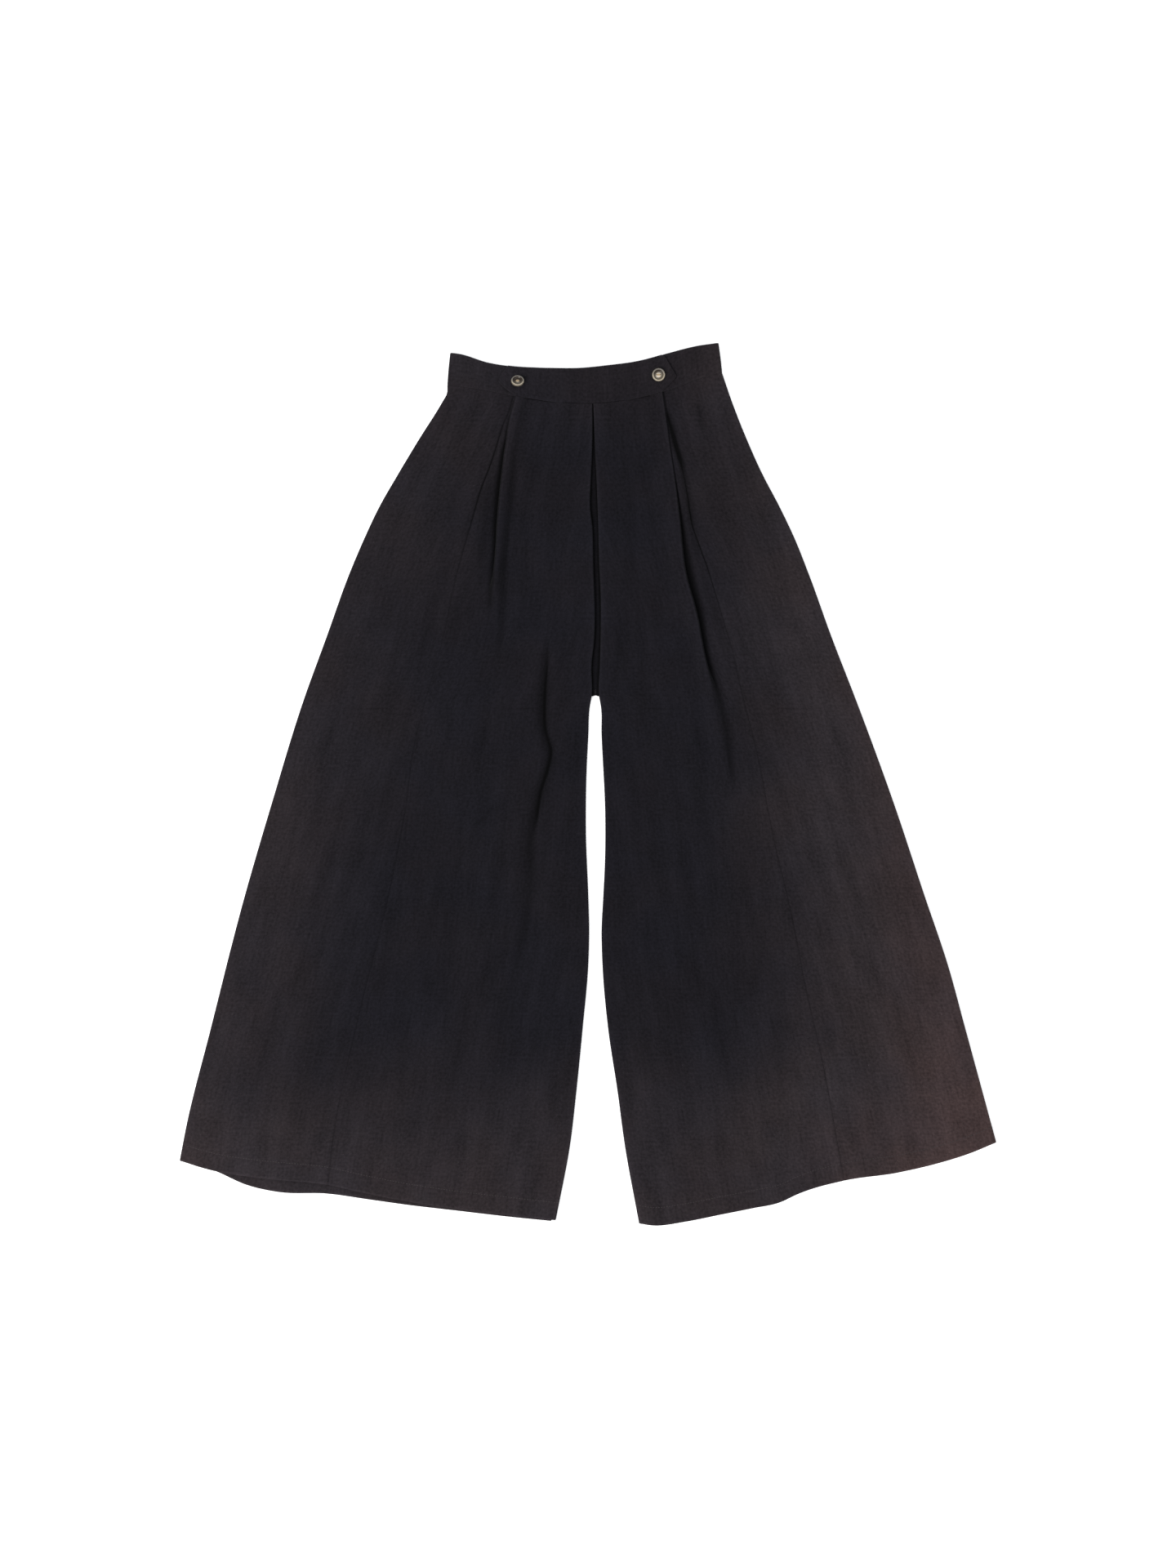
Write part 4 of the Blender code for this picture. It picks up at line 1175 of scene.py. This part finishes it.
class ShaderSums:
    """One material's node tree, with a method for each thing that its sums need."""

    def __init__(self, name: str) -> None:
        """Makes the material with its Principled shader."""
        self.material = bpy.data.materials.new(name)
        self.material.use_nodes = True
        self.tree = self.material.node_tree
        self.shader = self.tree.nodes["Principled BSDF"]

    def node(self, kind: str, settings: dict | None = None, inputs: dict | None = None) -> bpy.types.Node:
        """Adds a node whose inputs take values or wires."""
        inputs = {key: value.socket if isinstance(value, Wire) else value for key, value in (inputs or {}).items()}
        return add_node(self.tree, kind, settings, inputs)

    def feed(self, name: str, wire: Wire) -> None:
        """Links a wire to one of the shader's inputs."""
        self.tree.links.new(wire.socket, self.shader.inputs[name])

    def math(self, operation: str, *values: "Wire | float") -> Wire:
        """A Math node on one or more values."""
        made = self.node("ShaderNodeMath", {"operation": operation}, dict(enumerate(values)))
        return Wire(self, made.outputs[0])

    def ramp(self, value: Wire, low: float, high: float) -> Wire:
        """A smooth step of a value from 0 at low to 1 at high."""
        made = self.node(
            "ShaderNodeMapRange", {"interpolation_type": "SMOOTHSTEP"},
            {"Value": value, "From Min": low, "From Max": high},
        )
        return Wire(self, made.outputs[0])

    def vector(self, x: "Wire | float", y: "Wire | float", z: "Wire | float" = 0.0) -> Wire:
        """A vector of three values."""
        return Wire(self, self.node("ShaderNodeCombineXYZ", None, {0: x, 1: y, 2: z}).outputs[0])

    def parts(self, vector: Wire) -> tuple[Wire, Wire, Wire]:
        """A vector's three values."""
        made = self.node("ShaderNodeSeparateXYZ", None, {0: vector})
        return tuple(Wire(self, socket) for socket in made.outputs)

    def attribute(self, name: str, output: str) -> Wire:
        """A mesh attribute."""
        return Wire(self, self.node("ShaderNodeAttribute", {"attribute_name": name}).outputs[output])

    def object_place(self) -> Wire:
        """Object coordinates."""
        return Wire(self, self.node("ShaderNodeTexCoord").outputs["Object"])

    def noise(self, vector: Wire, scale: float, detail: float = 2.0) -> Wire:
        """Noise from 0 to 1.

        Args:
            vector: Where it is read.
            scale: Its scale.
            detail: Its octaves.

        Returns:
            The noise.
        """
        made = self.node(
            "ShaderNodeTexNoise", {"noise_dimensions": "3D"}, {"Vector": vector, "Scale": scale, "Detail": detail}
        )
        return Wire(self, made.outputs[0])

    def clouds(self, x: Wire, y: Wire, kind: Clouds) -> Wire:
        """Noise from 0 to 1 over the plane of x and y."""
        right, down = x * kind.scale[0] + kind.shift[0], y * kind.scale[1] + kind.shift[1]
        return self.noise(self.vector(right, down, kind.shift[2]), 1.0, kind.detail)

    def blend(self, share: "Wire | float", first: "Wire | tuple", second: "Wire | tuple") -> Wire:
        """A mix of two colours.

        Args:
            share: How much of the second.
            first: The first colour.
            second: The second colour.

        Returns:
            The mixed colour.
        """
        made = self.node("ShaderNodeMix", {"data_type": "RGBA"}, {"Factor": share, "A": first, "B": second})
        return Wire(self, enabled(made.outputs))

    def scaled(self, colour: "Wire | tuple", by: Wire) -> Wire:
        """A colour made lighter or darker."""
        made = self.node("ShaderNodeVectorMath", {"operation": "SCALE"}, {"Vector": colour, "Scale": by})
        return Wire(self, made.outputs[0])

    def tinted(self, colour: Wire, tint: Wire) -> Wire:
        """A colour times a tint."""
        made = self.node("ShaderNodeVectorMath", {"operation": "MULTIPLY"}, {0: colour, 1: tint})
        return Wire(self, made.outputs[0])

    def bump(self, height: Wire, distance: float, strength: float) -> None:
        """Feeds the shader's normal from a height."""
        made = self.node("ShaderNodeBump", None, {"Height": height, "Distance": distance, "Strength": strength})
        self.feed("Normal", Wire(self, made.outputs[0]))

    def constants(self, **values: float | tuple) -> None:
        """Sets the shader's own sockets, by their names with _ for a space."""
        for name, value in values.items():
            self.shader.inputs[name.replace("_", " ")].default_value = value


@dataclass(frozen=True)
class LinenFinish:
    """Near-black plain weave with faint slubs, with painted light making it warmer and lighter towards the hems and
    outer edges, and painted shade in its creases, seams and pleat gaps.
    """

    ink: tuple = (0.0076, 0.0070, 0.0095, 1.0)
    charcoal: tuple = (0.0218, 0.0177, 0.0198, 1.0)
    lit_red_brown: tuple = (0.0480, 0.0316, 0.0312, 1.0)
    cool: tuple = (0.975, 1.0, 1.03, 1.0)
    warm: tuple = (1.03, 0.995, 0.97, 1.0)
    warp: Clouds = Clouds((430.0, 26.0))
    weft: Clouds = Clouds((26.0, 430.0), (7.0, 0.0, 0.0))
    patches: Clouds = Clouds((36.0, 17.0), (3.0, 0.0, 0.0), 5.0)
    streaks: Clouds = Clouds((62.0, 5.0), (0.0, 5.0, 0.0))
    grain: Clouds = Clouds((300.0, 300.0), (0.0, 0.0, 3.0), 2.0)
    dust: Clouds = Clouds((420.0, 420.0), (0.0, 0.0, 9.0), 0.0)
    wander: Clouds = Clouds((5.0, 4.0), (0.0, 0.0, 5.0))
    tint: Clouds = Clouds((9.0, 9.0), (0.0, 0.0, 2.0))
    to_hems: PaintedLightRamp = PaintedLightRamp(0.0, -1.0, 0.20, 0.26, 0.54, 0.90)
    to_right_edge: PaintedLightRamp = PaintedLightRamp(-1.0, 0.25, 0.16, 0.17, 0.44, 0.75)
    to_left_edge: PaintedLightRamp = PaintedLightRamp(1.0, 0.12, 0.16, 0.11, 0.48, 2.00)
    to_waist: PaintedLightRamp = PaintedLightRamp(0.0, 1.0, 0.10, 0.40, 0.53, 0.30)
    lit_red_brown_range: tuple[float, float] = (1.0, 2.6)
    thread: float = 0.0008
    warp_share: float = 0.62
    dust_range: tuple[float, float] = (0.80, 0.90)
    dust_light: float = 0.8
    tint_range: tuple[float, float] = (0.36, 0.64)
    darkest: float = 0.1
    weave_shade: float = 0.20
    slub_shade: float = 0.90
    patch_shade: float = 0.70
    streak_shade: float = 0.55
    grain_shade: float = 1.20
    hidden_shade: float = 0.12
    wear_shade: float = 0.30
    roughness: float = 0.9
    roughness_range: float = 0.12
    bump_depth: float = 0.0004
    bump_strength: float = 0.6
    gloss: float = 0.05
    sheen: float = 0.02
    sheen_roughness: float = 0.6

    def make(self, name: str) -> bpy.types.Material:
        """Makes the material.

        Args:
            name: Its name.

        Returns:
            The material.
        """
        sums = ShaderSums(name)
        u, v, painted_light = sums.parts(sums.attribute("cloth_grid", "Vector"))
        x, y, _ = sums.parts(sums.object_place())

        turn = 2.0 * math.pi / self.thread
        weave = sums.math("SINE", u * turn) * sums.math("SINE", v * turn) * 0.5 + 0.5
        warp, weft = sums.clouds(u, v, self.warp), sums.clouds(u, v, self.weft)
        slubs = warp * self.warp_share + weft * (1.0 - self.warp_share)
        patches = sums.clouds(u, v, self.patches)
        streaks = sums.clouds(u, v, self.streaks)
        grain = sums.clouds(u, v, self.grain)
        dust = sums.ramp(sums.clouds(u, v, self.dust), *self.dust_range)

        # Painted light: the cloth is painted lighter and warmer towards the hems, the outer edges and the waist,
        # standing in for how the light falls across it
        wander = sums.clouds(x, y, self.wander) - 0.5
        painted_warmth = sum(
            sums.ramp(wander * fade.wander + x * fade.x + y * fade.y, fade.low, fade.high) * fade.strength
            for fade in (self.to_hems, self.to_right_edge, self.to_left_edge, self.to_waist)
        )
        colour = sums.blend(sums.math("MINIMUM", painted_warmth, 1.0), self.ink, self.charcoal)
        colour = sums.blend(sums.ramp(painted_warmth, *self.lit_red_brown_range), colour, self.lit_red_brown)
        tint = sums.ramp(sums.clouds(x, y, self.tint), *self.tint_range)
        colour = sums.tinted(colour, sums.blend(tint, self.cool, self.warm))

        lightness = (
            1.0
            + (slubs - 0.5) * self.slub_shade
            + (patches - 0.5) * self.patch_shade
            + (streaks - 0.5) * self.streak_shade
            + (grain - 0.5) * self.grain_shade
            + (weave - 0.5) * self.weave_shade
        )
        lightness = lightness + sums.attribute("cloth_wear", "Fac") * self.wear_shade + dust * self.dust_light
        # Painted shade: the colour darkens where the cloth's painted light share is low, in creases, seams and
        # pleat gaps
        lightness = lightness * (painted_light * (1.0 - self.hidden_shade) + self.hidden_shade)
        sums.feed("Base Color", sums.scaled(colour, sums.math("MAXIMUM", lightness, self.darkest)))
        sums.feed("Roughness", self.roughness + (slubs - 0.5) * self.roughness_range)
        sums.bump(weave * 0.35 + slubs * 0.5 + grain * 0.2, self.bump_depth, self.bump_strength)
        sums.constants(Specular_IOR_Level=self.gloss, Sheen_Weight=self.sheen, Sheen_Roughness=self.sheen_roughness)
        return sums.material


@dataclass(frozen=True)
class HornFinish:
    """Polished horn: a dark taupe hollow in a cream rim, both with painted light and painted reflection that make
    them paler towards the button's foot.
    """

    dark: tuple = (0.026, 0.017, 0.011, 1.0)
    taupe: tuple = (0.115, 0.098, 0.070, 1.0)
    grey: tuple = (0.150, 0.138, 0.120, 1.0)
    cream: tuple = (0.380, 0.325, 0.245, 1.0)
    pearl: tuple = (0.560, 0.490, 0.390, 1.0)
    cloud_scale: float = 260.0
    streak_scale: float = 900.0
    painted_light_range: tuple[float, float] = (-0.35, 0.75)
    eye_edge: tuple[float, float] = (0.22, 0.34)
    hollow_edge: tuple[float, float] = (0.70, 0.82)
    rim_edge: tuple[float, float] = (0.88, 1.0)
    roughness: float = 0.30
    gloss: float = 0.3
    coat: float = 0.12
    coat_roughness: float = 0.2

    def make(self, name: str) -> bpy.types.Material:
        """Makes the material.

        It reads the button's own place attribute: how pale it is, how high on it, and how far from its middle.

        Args:
            name: Its name.

        Returns:
            The material.
        """
        sums = ShaderSums(name)
        pale, high, out = sums.parts(sums.attribute("button_place", "Vector"))
        clouds = sums.noise(sums.object_place(), self.cloud_scale, 3.0)
        streaks = sums.noise(sums.object_place(), self.streak_scale, 2.0)
        # Painted light and painted reflection: the rim, the hollow and the eye are paler towards the button's foot
        # and darker towards its top
        foot = sums.ramp((clouds - 0.5) * 0.9 + pale * 0.35 - high, *self.painted_light_range)
        out = out + (clouds - 0.5) * 0.08
        rim = sums.blend(foot, self.grey, self.cream)
        rim = sums.blend(sums.ramp(out, *self.rim_edge), rim, self.taupe)
        hollow = sums.blend(foot, self.dark, self.taupe)
        eye = sums.blend(sums.math("MINIMUM", foot * 1.1 + pale * 0.15, 1.0), self.taupe, self.pearl)
        colour = sums.blend(sums.ramp(out - pale * 0.12, *self.eye_edge), eye, hollow)
        colour = sums.blend(sums.ramp(out, *self.hollow_edge), colour, rim)
        sums.feed("Base Color", sums.scaled(colour, 0.85 + streaks * 0.3))
        sums.feed("Roughness", self.roughness + streaks * 0.12)
        sums.bump(streaks, 0.00008, 0.25)
        sums.constants(Coat_Roughness=self.coat_roughness, Coat_Weight=self.coat, Specular_IOR_Level=self.gloss)
        return sums.material


@dataclass(frozen=True)
class ThreadFinish:
    """Twisted sewing thread of one colour, with a fine twist across it."""

    colour: tuple
    roughness: float = 0.7
    twist_scale: float = 9000.0
    shade_scale: float = 240.0
    gloss: float = 0.25

    def make(self, name: str) -> bpy.types.Material:
        """Makes the material."""
        sums = ShaderSums(name)
        x, y, z = sums.parts(sums.object_place())
        twist = sums.math("SINE", (x + y + z) * self.twist_scale) * 0.5 + 0.5
        shade = sums.noise(sums.object_place(), self.shade_scale, 1.0)
        lightness = 0.75 + shade * 0.4 + twist * 0.15
        sums.feed("Base Color", sums.scaled(self.colour[:3], lightness))
        sums.bump(twist, 0.0001, 0.4)
        sums.constants(Roughness=self.roughness, Specular_IOR_Level=self.gloss)
        return sums.material


@dataclass(frozen=True)
class FloorFinish:
    """A plain pale matt floor that glows a little, so that no shadow shows beside the cloth."""

    colour: tuple = (0.96, 0.96, 0.96, 1.0)
    glow: float = 0.45
    roughness: float = 0.95
    gloss: float = 0.1

    def make(self, name: str) -> bpy.types.Material:
        """Makes the material."""
        sums = ShaderSums(name)
        sums.constants(Base_Color=self.colour, Roughness=self.roughness, Specular_IOR_Level=self.gloss)
        sums.constants(Emission_Color=self.colour, Emission_Strength=self.glow)
        return sums.material


@dataclass(frozen=True)
class StitchLine:
    """A line of stitches on the cloth: one low thread for each stitch, set along a path by Geometry Nodes."""

    name: str
    stitch: float = 0.0026
    pitch: float = 0.0033
    thickness: float = 0.00038
    flatness: float = 0.7
    uneven: tuple[float, float] = (0.82, 1.1)
    bead: tuple[int, int] = (8, 5)
    seed: int = 5

    def tree(self, finish: bpy.types.Material) -> bpy.types.NodeTree:
        """The Geometry Nodes tree.

        Args:
            finish: The thread's material.

        Returns:
            The tree, whose inputs are the stitch's length, pitch and thickness.
        """
        tree = bpy.data.node_groups.new(self.name, "GeometryNodeTree")
        socket = tree.interface.new_socket
        socket(name="Path", in_out="INPUT", socket_type="NodeSocketGeometry")
        for name, value in (("Stitch", self.stitch), ("Pitch", self.pitch), ("Thickness", self.thickness)):
            socket(name=name, in_out="INPUT", socket_type="NodeSocketFloat").default_value = value
        socket(name="Seed", in_out="INPUT", socket_type="NodeSocketInt").default_value = self.seed
        socket(name="Stitches", in_out="OUTPUT", socket_type="NodeSocketGeometry")

        add = partial(add_node, tree)
        times = partial(add, "ShaderNodeMath", {"operation": "MULTIPLY"})
        given = add("NodeGroupInput").outputs
        line = add("GeometryNodeMeshToCurve", None, {"Mesh": given["Path"]})
        spots = add(
            "GeometryNodeCurveToPoints", {"mode": "LENGTH"}, {"Curve": line.outputs[0], "Length": given["Pitch"]}
        )
        facing = add(
            "FunctionNodeAlignRotationToVector", {"axis": "X", "pivot_axis": "Z"},
            {"Vector": spots.outputs["Tangent"]},
        )
        wobble = add(
            "FunctionNodeRandomValue", {"data_type": "FLOAT"},
            {"Min": self.uneven[0], "Max": self.uneven[1], "Seed": given["Seed"]},
        )
        half = times({0: given["Stitch"], 1: 0.5})
        uneven = times({0: half.outputs[0], 1: enabled(wobble.outputs)})
        low = times({0: given["Thickness"], 1: self.flatness})
        size = add(
            "ShaderNodeCombineXYZ", None, {"X": uneven.outputs[0], "Y": given["Thickness"], "Z": low.outputs[0]}
        )
        bead = add(
            "GeometryNodeMeshUVSphere", None, {"Segments": self.bead[0], "Rings": self.bead[1], "Radius": 1.0}
        )
        copies = add(
            "GeometryNodeInstanceOnPoints", None,
            {"Points": spots.outputs["Points"], "Instance": bead.outputs["Mesh"],
             "Rotation": facing.outputs["Rotation"], "Scale": size.outputs[0]},
        )
        real = add("GeometryNodeRealizeInstances", None, {"Geometry": copies.outputs[0]})
        dressed = add("GeometryNodeSetMaterial", None, {"Geometry": real.outputs[0], "Material": finish})
        out = add("NodeGroupOutput")
        tree.links.new(dressed.outputs[0], out.inputs["Stitches"])
        return tree

    def build(self, path: Array, finish: bpy.types.Material) -> bpy.types.Object:
        """Sews the line.

        Args:
            path: Its points in metres.
            finish: The thread's material.

        Returns:
            The stitches as one piece.
        """
        line = bpy.data.meshes.new(self.name)
        line.from_pydata(path.tolist(), [(k, k + 1) for k in range(len(path) - 1)], [])
        guide = add_object(self.name + "_guide", line)
        sewing = guide.modifiers.new("stitches", "NODES")
        sewing.node_group = self.tree(finish)
        for item in sewing.node_group.interface.items_tree:
            if item.in_out == "INPUT" and item.name in ("Stitch", "Pitch", "Thickness", "Seed"):
                sewing[item.identifier] = item.default_value
        graph = bpy.context.evaluated_depsgraph_get()
        mesh = bpy.data.meshes.new_from_object(guide.evaluated_get(graph))
        guide.modifiers.clear()
        bpy.data.objects.remove(guide)
        mesh.name = self.name
        mesh.shade_smooth()
        return add_piece(self.name, mesh, finish)


@dataclass(frozen=True)
class Button:
    """A turned two-hole button sewn on a tab with a few strands of thread."""

    side: Side
    across: float
    drop: float
    tilt: tuple[float, float]
    pale: float
    hole_radius: float = 0.85
    hole_spacing: float = 4.2
    hole_sides: int = 20
    drill_depth: float = 10.0
    strand: float = 0.24
    strand_sides: int = 8
    strand_pitch: float = 0.44
    strand_count: int = 3
    steps: int = 72
    sharp_angle: float = 40.0
    thread_sharp_angle: float = 50.0
    level: float = 7.5
    shank_sink: float = 0.6
    shank_rise: float = 1.1
    shank_radii: tuple[float, float] = (1.9, 1.6)
    shank_sides: int = 16
    profile: Table = (
        (0, 0), (6.4, 0), (7.3, 0.22), (7.85, 0.8), (8.1, 1.6), (8.0, 2.35), (7.65, 2.95), (7.1, 3.3), (6.6, 3.35),
        (6.15, 3.15), (5.8, 2.65), (5.5, 2.0), (5.1, 1.55), (4.6, 1.35), (4.0, 1.4), (3.4, 1.75), (2.8, 1.98),
        (1.6, 2.0), (0, 1.95),
    )

    @property
    def name(self) -> str:
        """The wearer's side in small letters."""
        return self.side.name.lower()

    def place(self) -> Matrix:
        """Where the button sits: tilted on its thread, with its lower edge just clear of the tab."""
        about_x, about_y = (math.radians(angle) for angle in self.tilt)
        height = self.level + self.profile[1][0] * math.sin(max(abs(about_x), abs(about_y)))
        spot = placed(np.array([self.across]), self.drop, height)[0] * MM
        turn = Matrix.Rotation(about_x, 4, "X") @ Matrix.Rotation(about_y, 4, "Y")
        return Matrix.Translation(Vector(spot)) @ turn

    def build(self, finish: bpy.types.Material) -> bpy.types.Object:
        """Turns the button and cuts its two thread holes.

        Args:
            finish: The horn.

        Returns:
            The button.
        """
        mesh = bmesh.new()
        corners = [mesh.verts.new((r * MM, 0.0, z * MM)) for r, z in self.profile]
        edges = [mesh.edges.new(pair) for pair in zip(corners, corners[1:])]
        bmesh.ops.spin(
            mesh, geom=corners + edges, cent=(0, 0, 0), axis=(0, 0, 1), angle=2 * math.pi, steps=self.steps
        )
        bmesh.ops.remove_doubles(mesh, verts=mesh.verts, dist=0.000001)
        bmesh.ops.recalc_face_normals(mesh, faces=mesh.faces)
        data = bpy.data.meshes.new(f"button_{self.name}_blank")
        mesh.to_mesh(data)
        mesh.free()
        blank = add_object(data.name, data)
        drills = []
        for sign in (-1, 1):
            drill = bmesh.new()
            bmesh.ops.create_cone(
                drill, cap_ends=True, segments=self.hole_sides, radius1=self.hole_radius * MM,
                radius2=self.hole_radius * MM, depth=self.drill_depth * MM,
                matrix=Matrix.Translation((sign * self.hole_spacing / 2 * MM, 0.0, 0.0)),
            )
            shape = bpy.data.meshes.new(f"button_{self.name}_drill")
            drill.to_mesh(shape)
            drill.free()
            drills.append(add_object(shape.name, shape))
            cut = blank.modifiers.new("hole", "BOOLEAN")
            cut.operation = "DIFFERENCE"
            cut.object = drills[-1]
        graph = bpy.context.evaluated_depsgraph_get()
        made = bpy.data.meshes.new_from_object(blank.evaluated_get(graph))
        for helper in [blank, *drills]:
            bpy.data.objects.remove(helper)
        made.name = f"horn_button_{self.name}"
        points = np.array([vertex.co for vertex in made.vertices])
        radius = max(row[0] for row in self.profile) * MM
        out = np.hypot(points[:, 0], points[:, 1]) / radius
        place = np.column_stack([np.full(len(points), self.pale), points[:, 1] / radius, out])
        attribute = made.attributes.new("button_place", "FLOAT_VECTOR", "POINT")
        attribute.data.foreach_set("vector", place.astype(np.float32).ravel())
        made.transform(self.place())
        made.shade_smooth()
        made.set_sharp_from_angle(angle=math.radians(self.sharp_angle))
        return add_piece(made.name, made, finish)

    def build_thread(self, finish: bpy.types.Material) -> bpy.types.Object:
        """Sews the button on: strands over the bridge between its holes, and the shank under it.

        Args:
            finish: The thread.

        Returns:
            The thread.
        """
        mesh = bmesh.new()
        half = self.hole_spacing / 2
        for number in range(self.strand_count):
            side = (number - self.strand_count // 2) * self.strand_pitch
            high = 2.15 + 0.22 * math.cos(side * 1.6) + 0.05 * (number % 2)
            rise = [
                (-half, side * 0.6, 0.3), (-half, side * 0.7, 1.4), (-half + 0.25, side * 0.9, high - 0.2),
                (-half + 0.8, side, high),
            ]
            fall = [(-x, y, z) for x, y, z in rise[::-1]]
            self.tube(mesh, [*rise, (0.0, side * 1.05, high + 0.1), *fall], self.strand)
        bmesh.ops.transform(mesh, matrix=Matrix.Scale(MM, 4), verts=mesh.verts)
        bmesh.ops.transform(mesh, matrix=self.place(), verts=mesh.verts)
        spot = self.place().translation
        foot, head = (self.level - self.shank_sink) * MM, spot.z + self.shank_rise * MM
        bmesh.ops.create_cone(
            mesh, cap_ends=True, segments=self.shank_sides, radius1=self.shank_radii[0] * MM,
            radius2=self.shank_radii[1] * MM, depth=head - foot,
            matrix=Matrix.Translation((spot.x, spot.y, (foot + head) / 2)),
        )
        bmesh.ops.recalc_face_normals(mesh, faces=mesh.faces)
        data = bpy.data.meshes.new(f"button_thread_{self.name}")
        mesh.to_mesh(data)
        mesh.free()
        data.shade_smooth()
        data.set_sharp_from_angle(angle=math.radians(self.thread_sharp_angle))
        return add_piece(data.name, data, finish)

    def tube(self, mesh: bmesh.types.BMesh, path: list[tuple[float, float, float]], radius: float) -> None:
        """Adds a closed round strand along a path that lies in planes of equal Y.

        Args:
            mesh: Where it goes.
            path: Its points.
            radius: Its radius.
        """
        points = np.array(path)
        tangent = np.gradient(points, axis=0)
        tangent /= np.linalg.norm(tangent, axis=1)[:, None]
        sideways = np.array((0.0, 1.0, 0.0))
        angles = np.linspace(0.0, 2 * math.pi, self.strand_sides + 1)[:-1]
        rings = []
        for point, ahead in zip(points, tangent):
            up = np.cross(ahead, sideways)
            up /= np.linalg.norm(up)
            across = np.cross(up, ahead)
            rings.append([
                mesh.verts.new(point + radius * (math.cos(a) * up + math.sin(a) * across)) for a in angles
            ])
        for above, below in zip(rings, rings[1:]):
            for k in range(self.strand_sides):
                mesh.faces.new((above[k - 1], above[k], below[k], below[k - 1]))
        mesh.faces.new(rings[0])
        mesh.faces.new(rings[-1][::-1])


@dataclass(frozen=True)
class Lamp:
    """A square area light that faces the trousers: place and size in metres, power in watts."""

    name: str
    place: tuple[float, float, float]
    size: float
    power: float
    colour: tuple[float, float, float]

    def build(self) -> None:
        """Hangs the lamp."""
        data = bpy.data.lights.new(self.name, "AREA")
        data.size = self.size
        data.energy = self.power
        data.color = self.colour
        light = add_object(self.name, data)
        light.location = self.place
        light.rotation_euler = (-Vector(self.place)).to_track_quat("-Z", "Y").to_euler()


@dataclass(frozen=True)
class Studio:
    """A plain pale floor, soft light from above, and a camera straight over the trousers."""

    lamps: tuple[Lamp, ...] = (
        Lamp("key_light", (-1.8, -1.3, 2.7), 1.9, 112.0, (1.0, 0.985, 0.97)),
        Lamp("fill_light", (1.2, 1.8, 2.8), 2.6, 30.0, (0.95, 0.97, 1.0)),
    )
    room_colour: tuple[float, float, float, float] = (0.96, 0.975, 1.0, 1.0)
    room_strength: float = 0.55
    camera_height: float = 2.6
    camera_reach: float = 50.0
    cloth_height: float = 0.005
    view_height: float = 1.92
    sensor: float = 36.0
    floor_size: float = 24.0
    floor_level: float = -0.0004

    def build(self) -> None:
        """Puts the floor, the lights and the camera in the scene."""
        mesh = bpy.data.meshes.new("floor")
        half = self.floor_size / 2
        corners = [(-half, -half), (half, -half), (half, half), (-half, half)]
        mesh.from_pydata([(x, y, self.floor_level) for x, y in corners], [], [(0, 1, 2, 3)])
        mesh.materials.append(FloorFinish().make("pale_floor"))
        floor = add_object("floor", mesh)

        for lamp in self.lamps:
            lamp.build()
        world = bpy.data.worlds.new("soft_room")
        world.use_nodes = True
        background = world.node_tree.nodes["Background"].inputs
        background["Color"].default_value = self.room_colour
        background["Strength"].default_value = self.room_strength
        bpy.context.scene.world = world

        view = bpy.data.cameras.new("camera")
        view.sensor_width = self.sensor
        view.lens = self.sensor * (self.camera_height - self.cloth_height) / self.view_height
        view.clip_end = self.camera_reach
        camera = add_object("camera", view)
        camera.location = (0.0, 0.0, self.camera_height)
        bpy.context.scene.camera = camera
        bpy.context.scene.view_settings.view_transform = "Standard"


@dataclass(frozen=True)
class Trousers:
    """All the cloth, thread and buttons."""

    panels: tuple[Panel, ...]
    band: Waistband
    buttons: tuple[Button, ...]

    def build(self) -> None:
        """Makes every piece and hides the solids that the panels, the band and the buttons stand for."""
        linen = LinenFinish().make("black_linen")
        thread = ThreadFinish((0.036, 0.030, 0.031, 1.0)).make("hem_thread")
        horn = HornFinish().make("polished_horn")
        gold = ThreadFinish((0.44, 0.32, 0.18, 1.0), 0.55).make("button_thread")

        for panel in self.panels:
            piece = panel.build(linen)
            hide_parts(panel.node)
            stitches = StitchLine(f"hem_stitches_{panel.node}").build(panel.stitch_path(), thread)
            under = ["floor"] if panel.kind is Kind.BACK else [f"back_panel_{panel.leg.name}"]
        back = self.band.build_back(linen)
        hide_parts("waistband_back")
        front = self.band.build_front(linen)
        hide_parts("waistband_front")
        back.name
        for button in self.buttons:
            piece = button.build(horn)
            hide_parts(f"button_{button.name}")
            button.build_thread(gold)


def main() -> None:
    """Builds the studio and the trousers."""
    logging.basicConfig(level=logging.INFO, format="%(name)s: %(message)s")
    Studio().build()
    trousers = Trousers(
        panels=tuple(
            Panel(leg, kind, cut)
            for leg, cuts in ((RIGHT_LEG, RIGHT_CUTS), (LEFT_LEG, LEFT_CUTS))
            for kind, cut in zip(Kind, cuts)
        ),
        band=Waistband(),
        buttons=(
            Button(Side.RIGHT, -95.0, 49.0, (-28.0, 2.0), 0.0),
            Button(Side.LEFT, 77.4, 40.2, (4.0, -2.0), 1.0),
        ),
    )
    trousers.build()


if __name__ == "__main__":
    main()
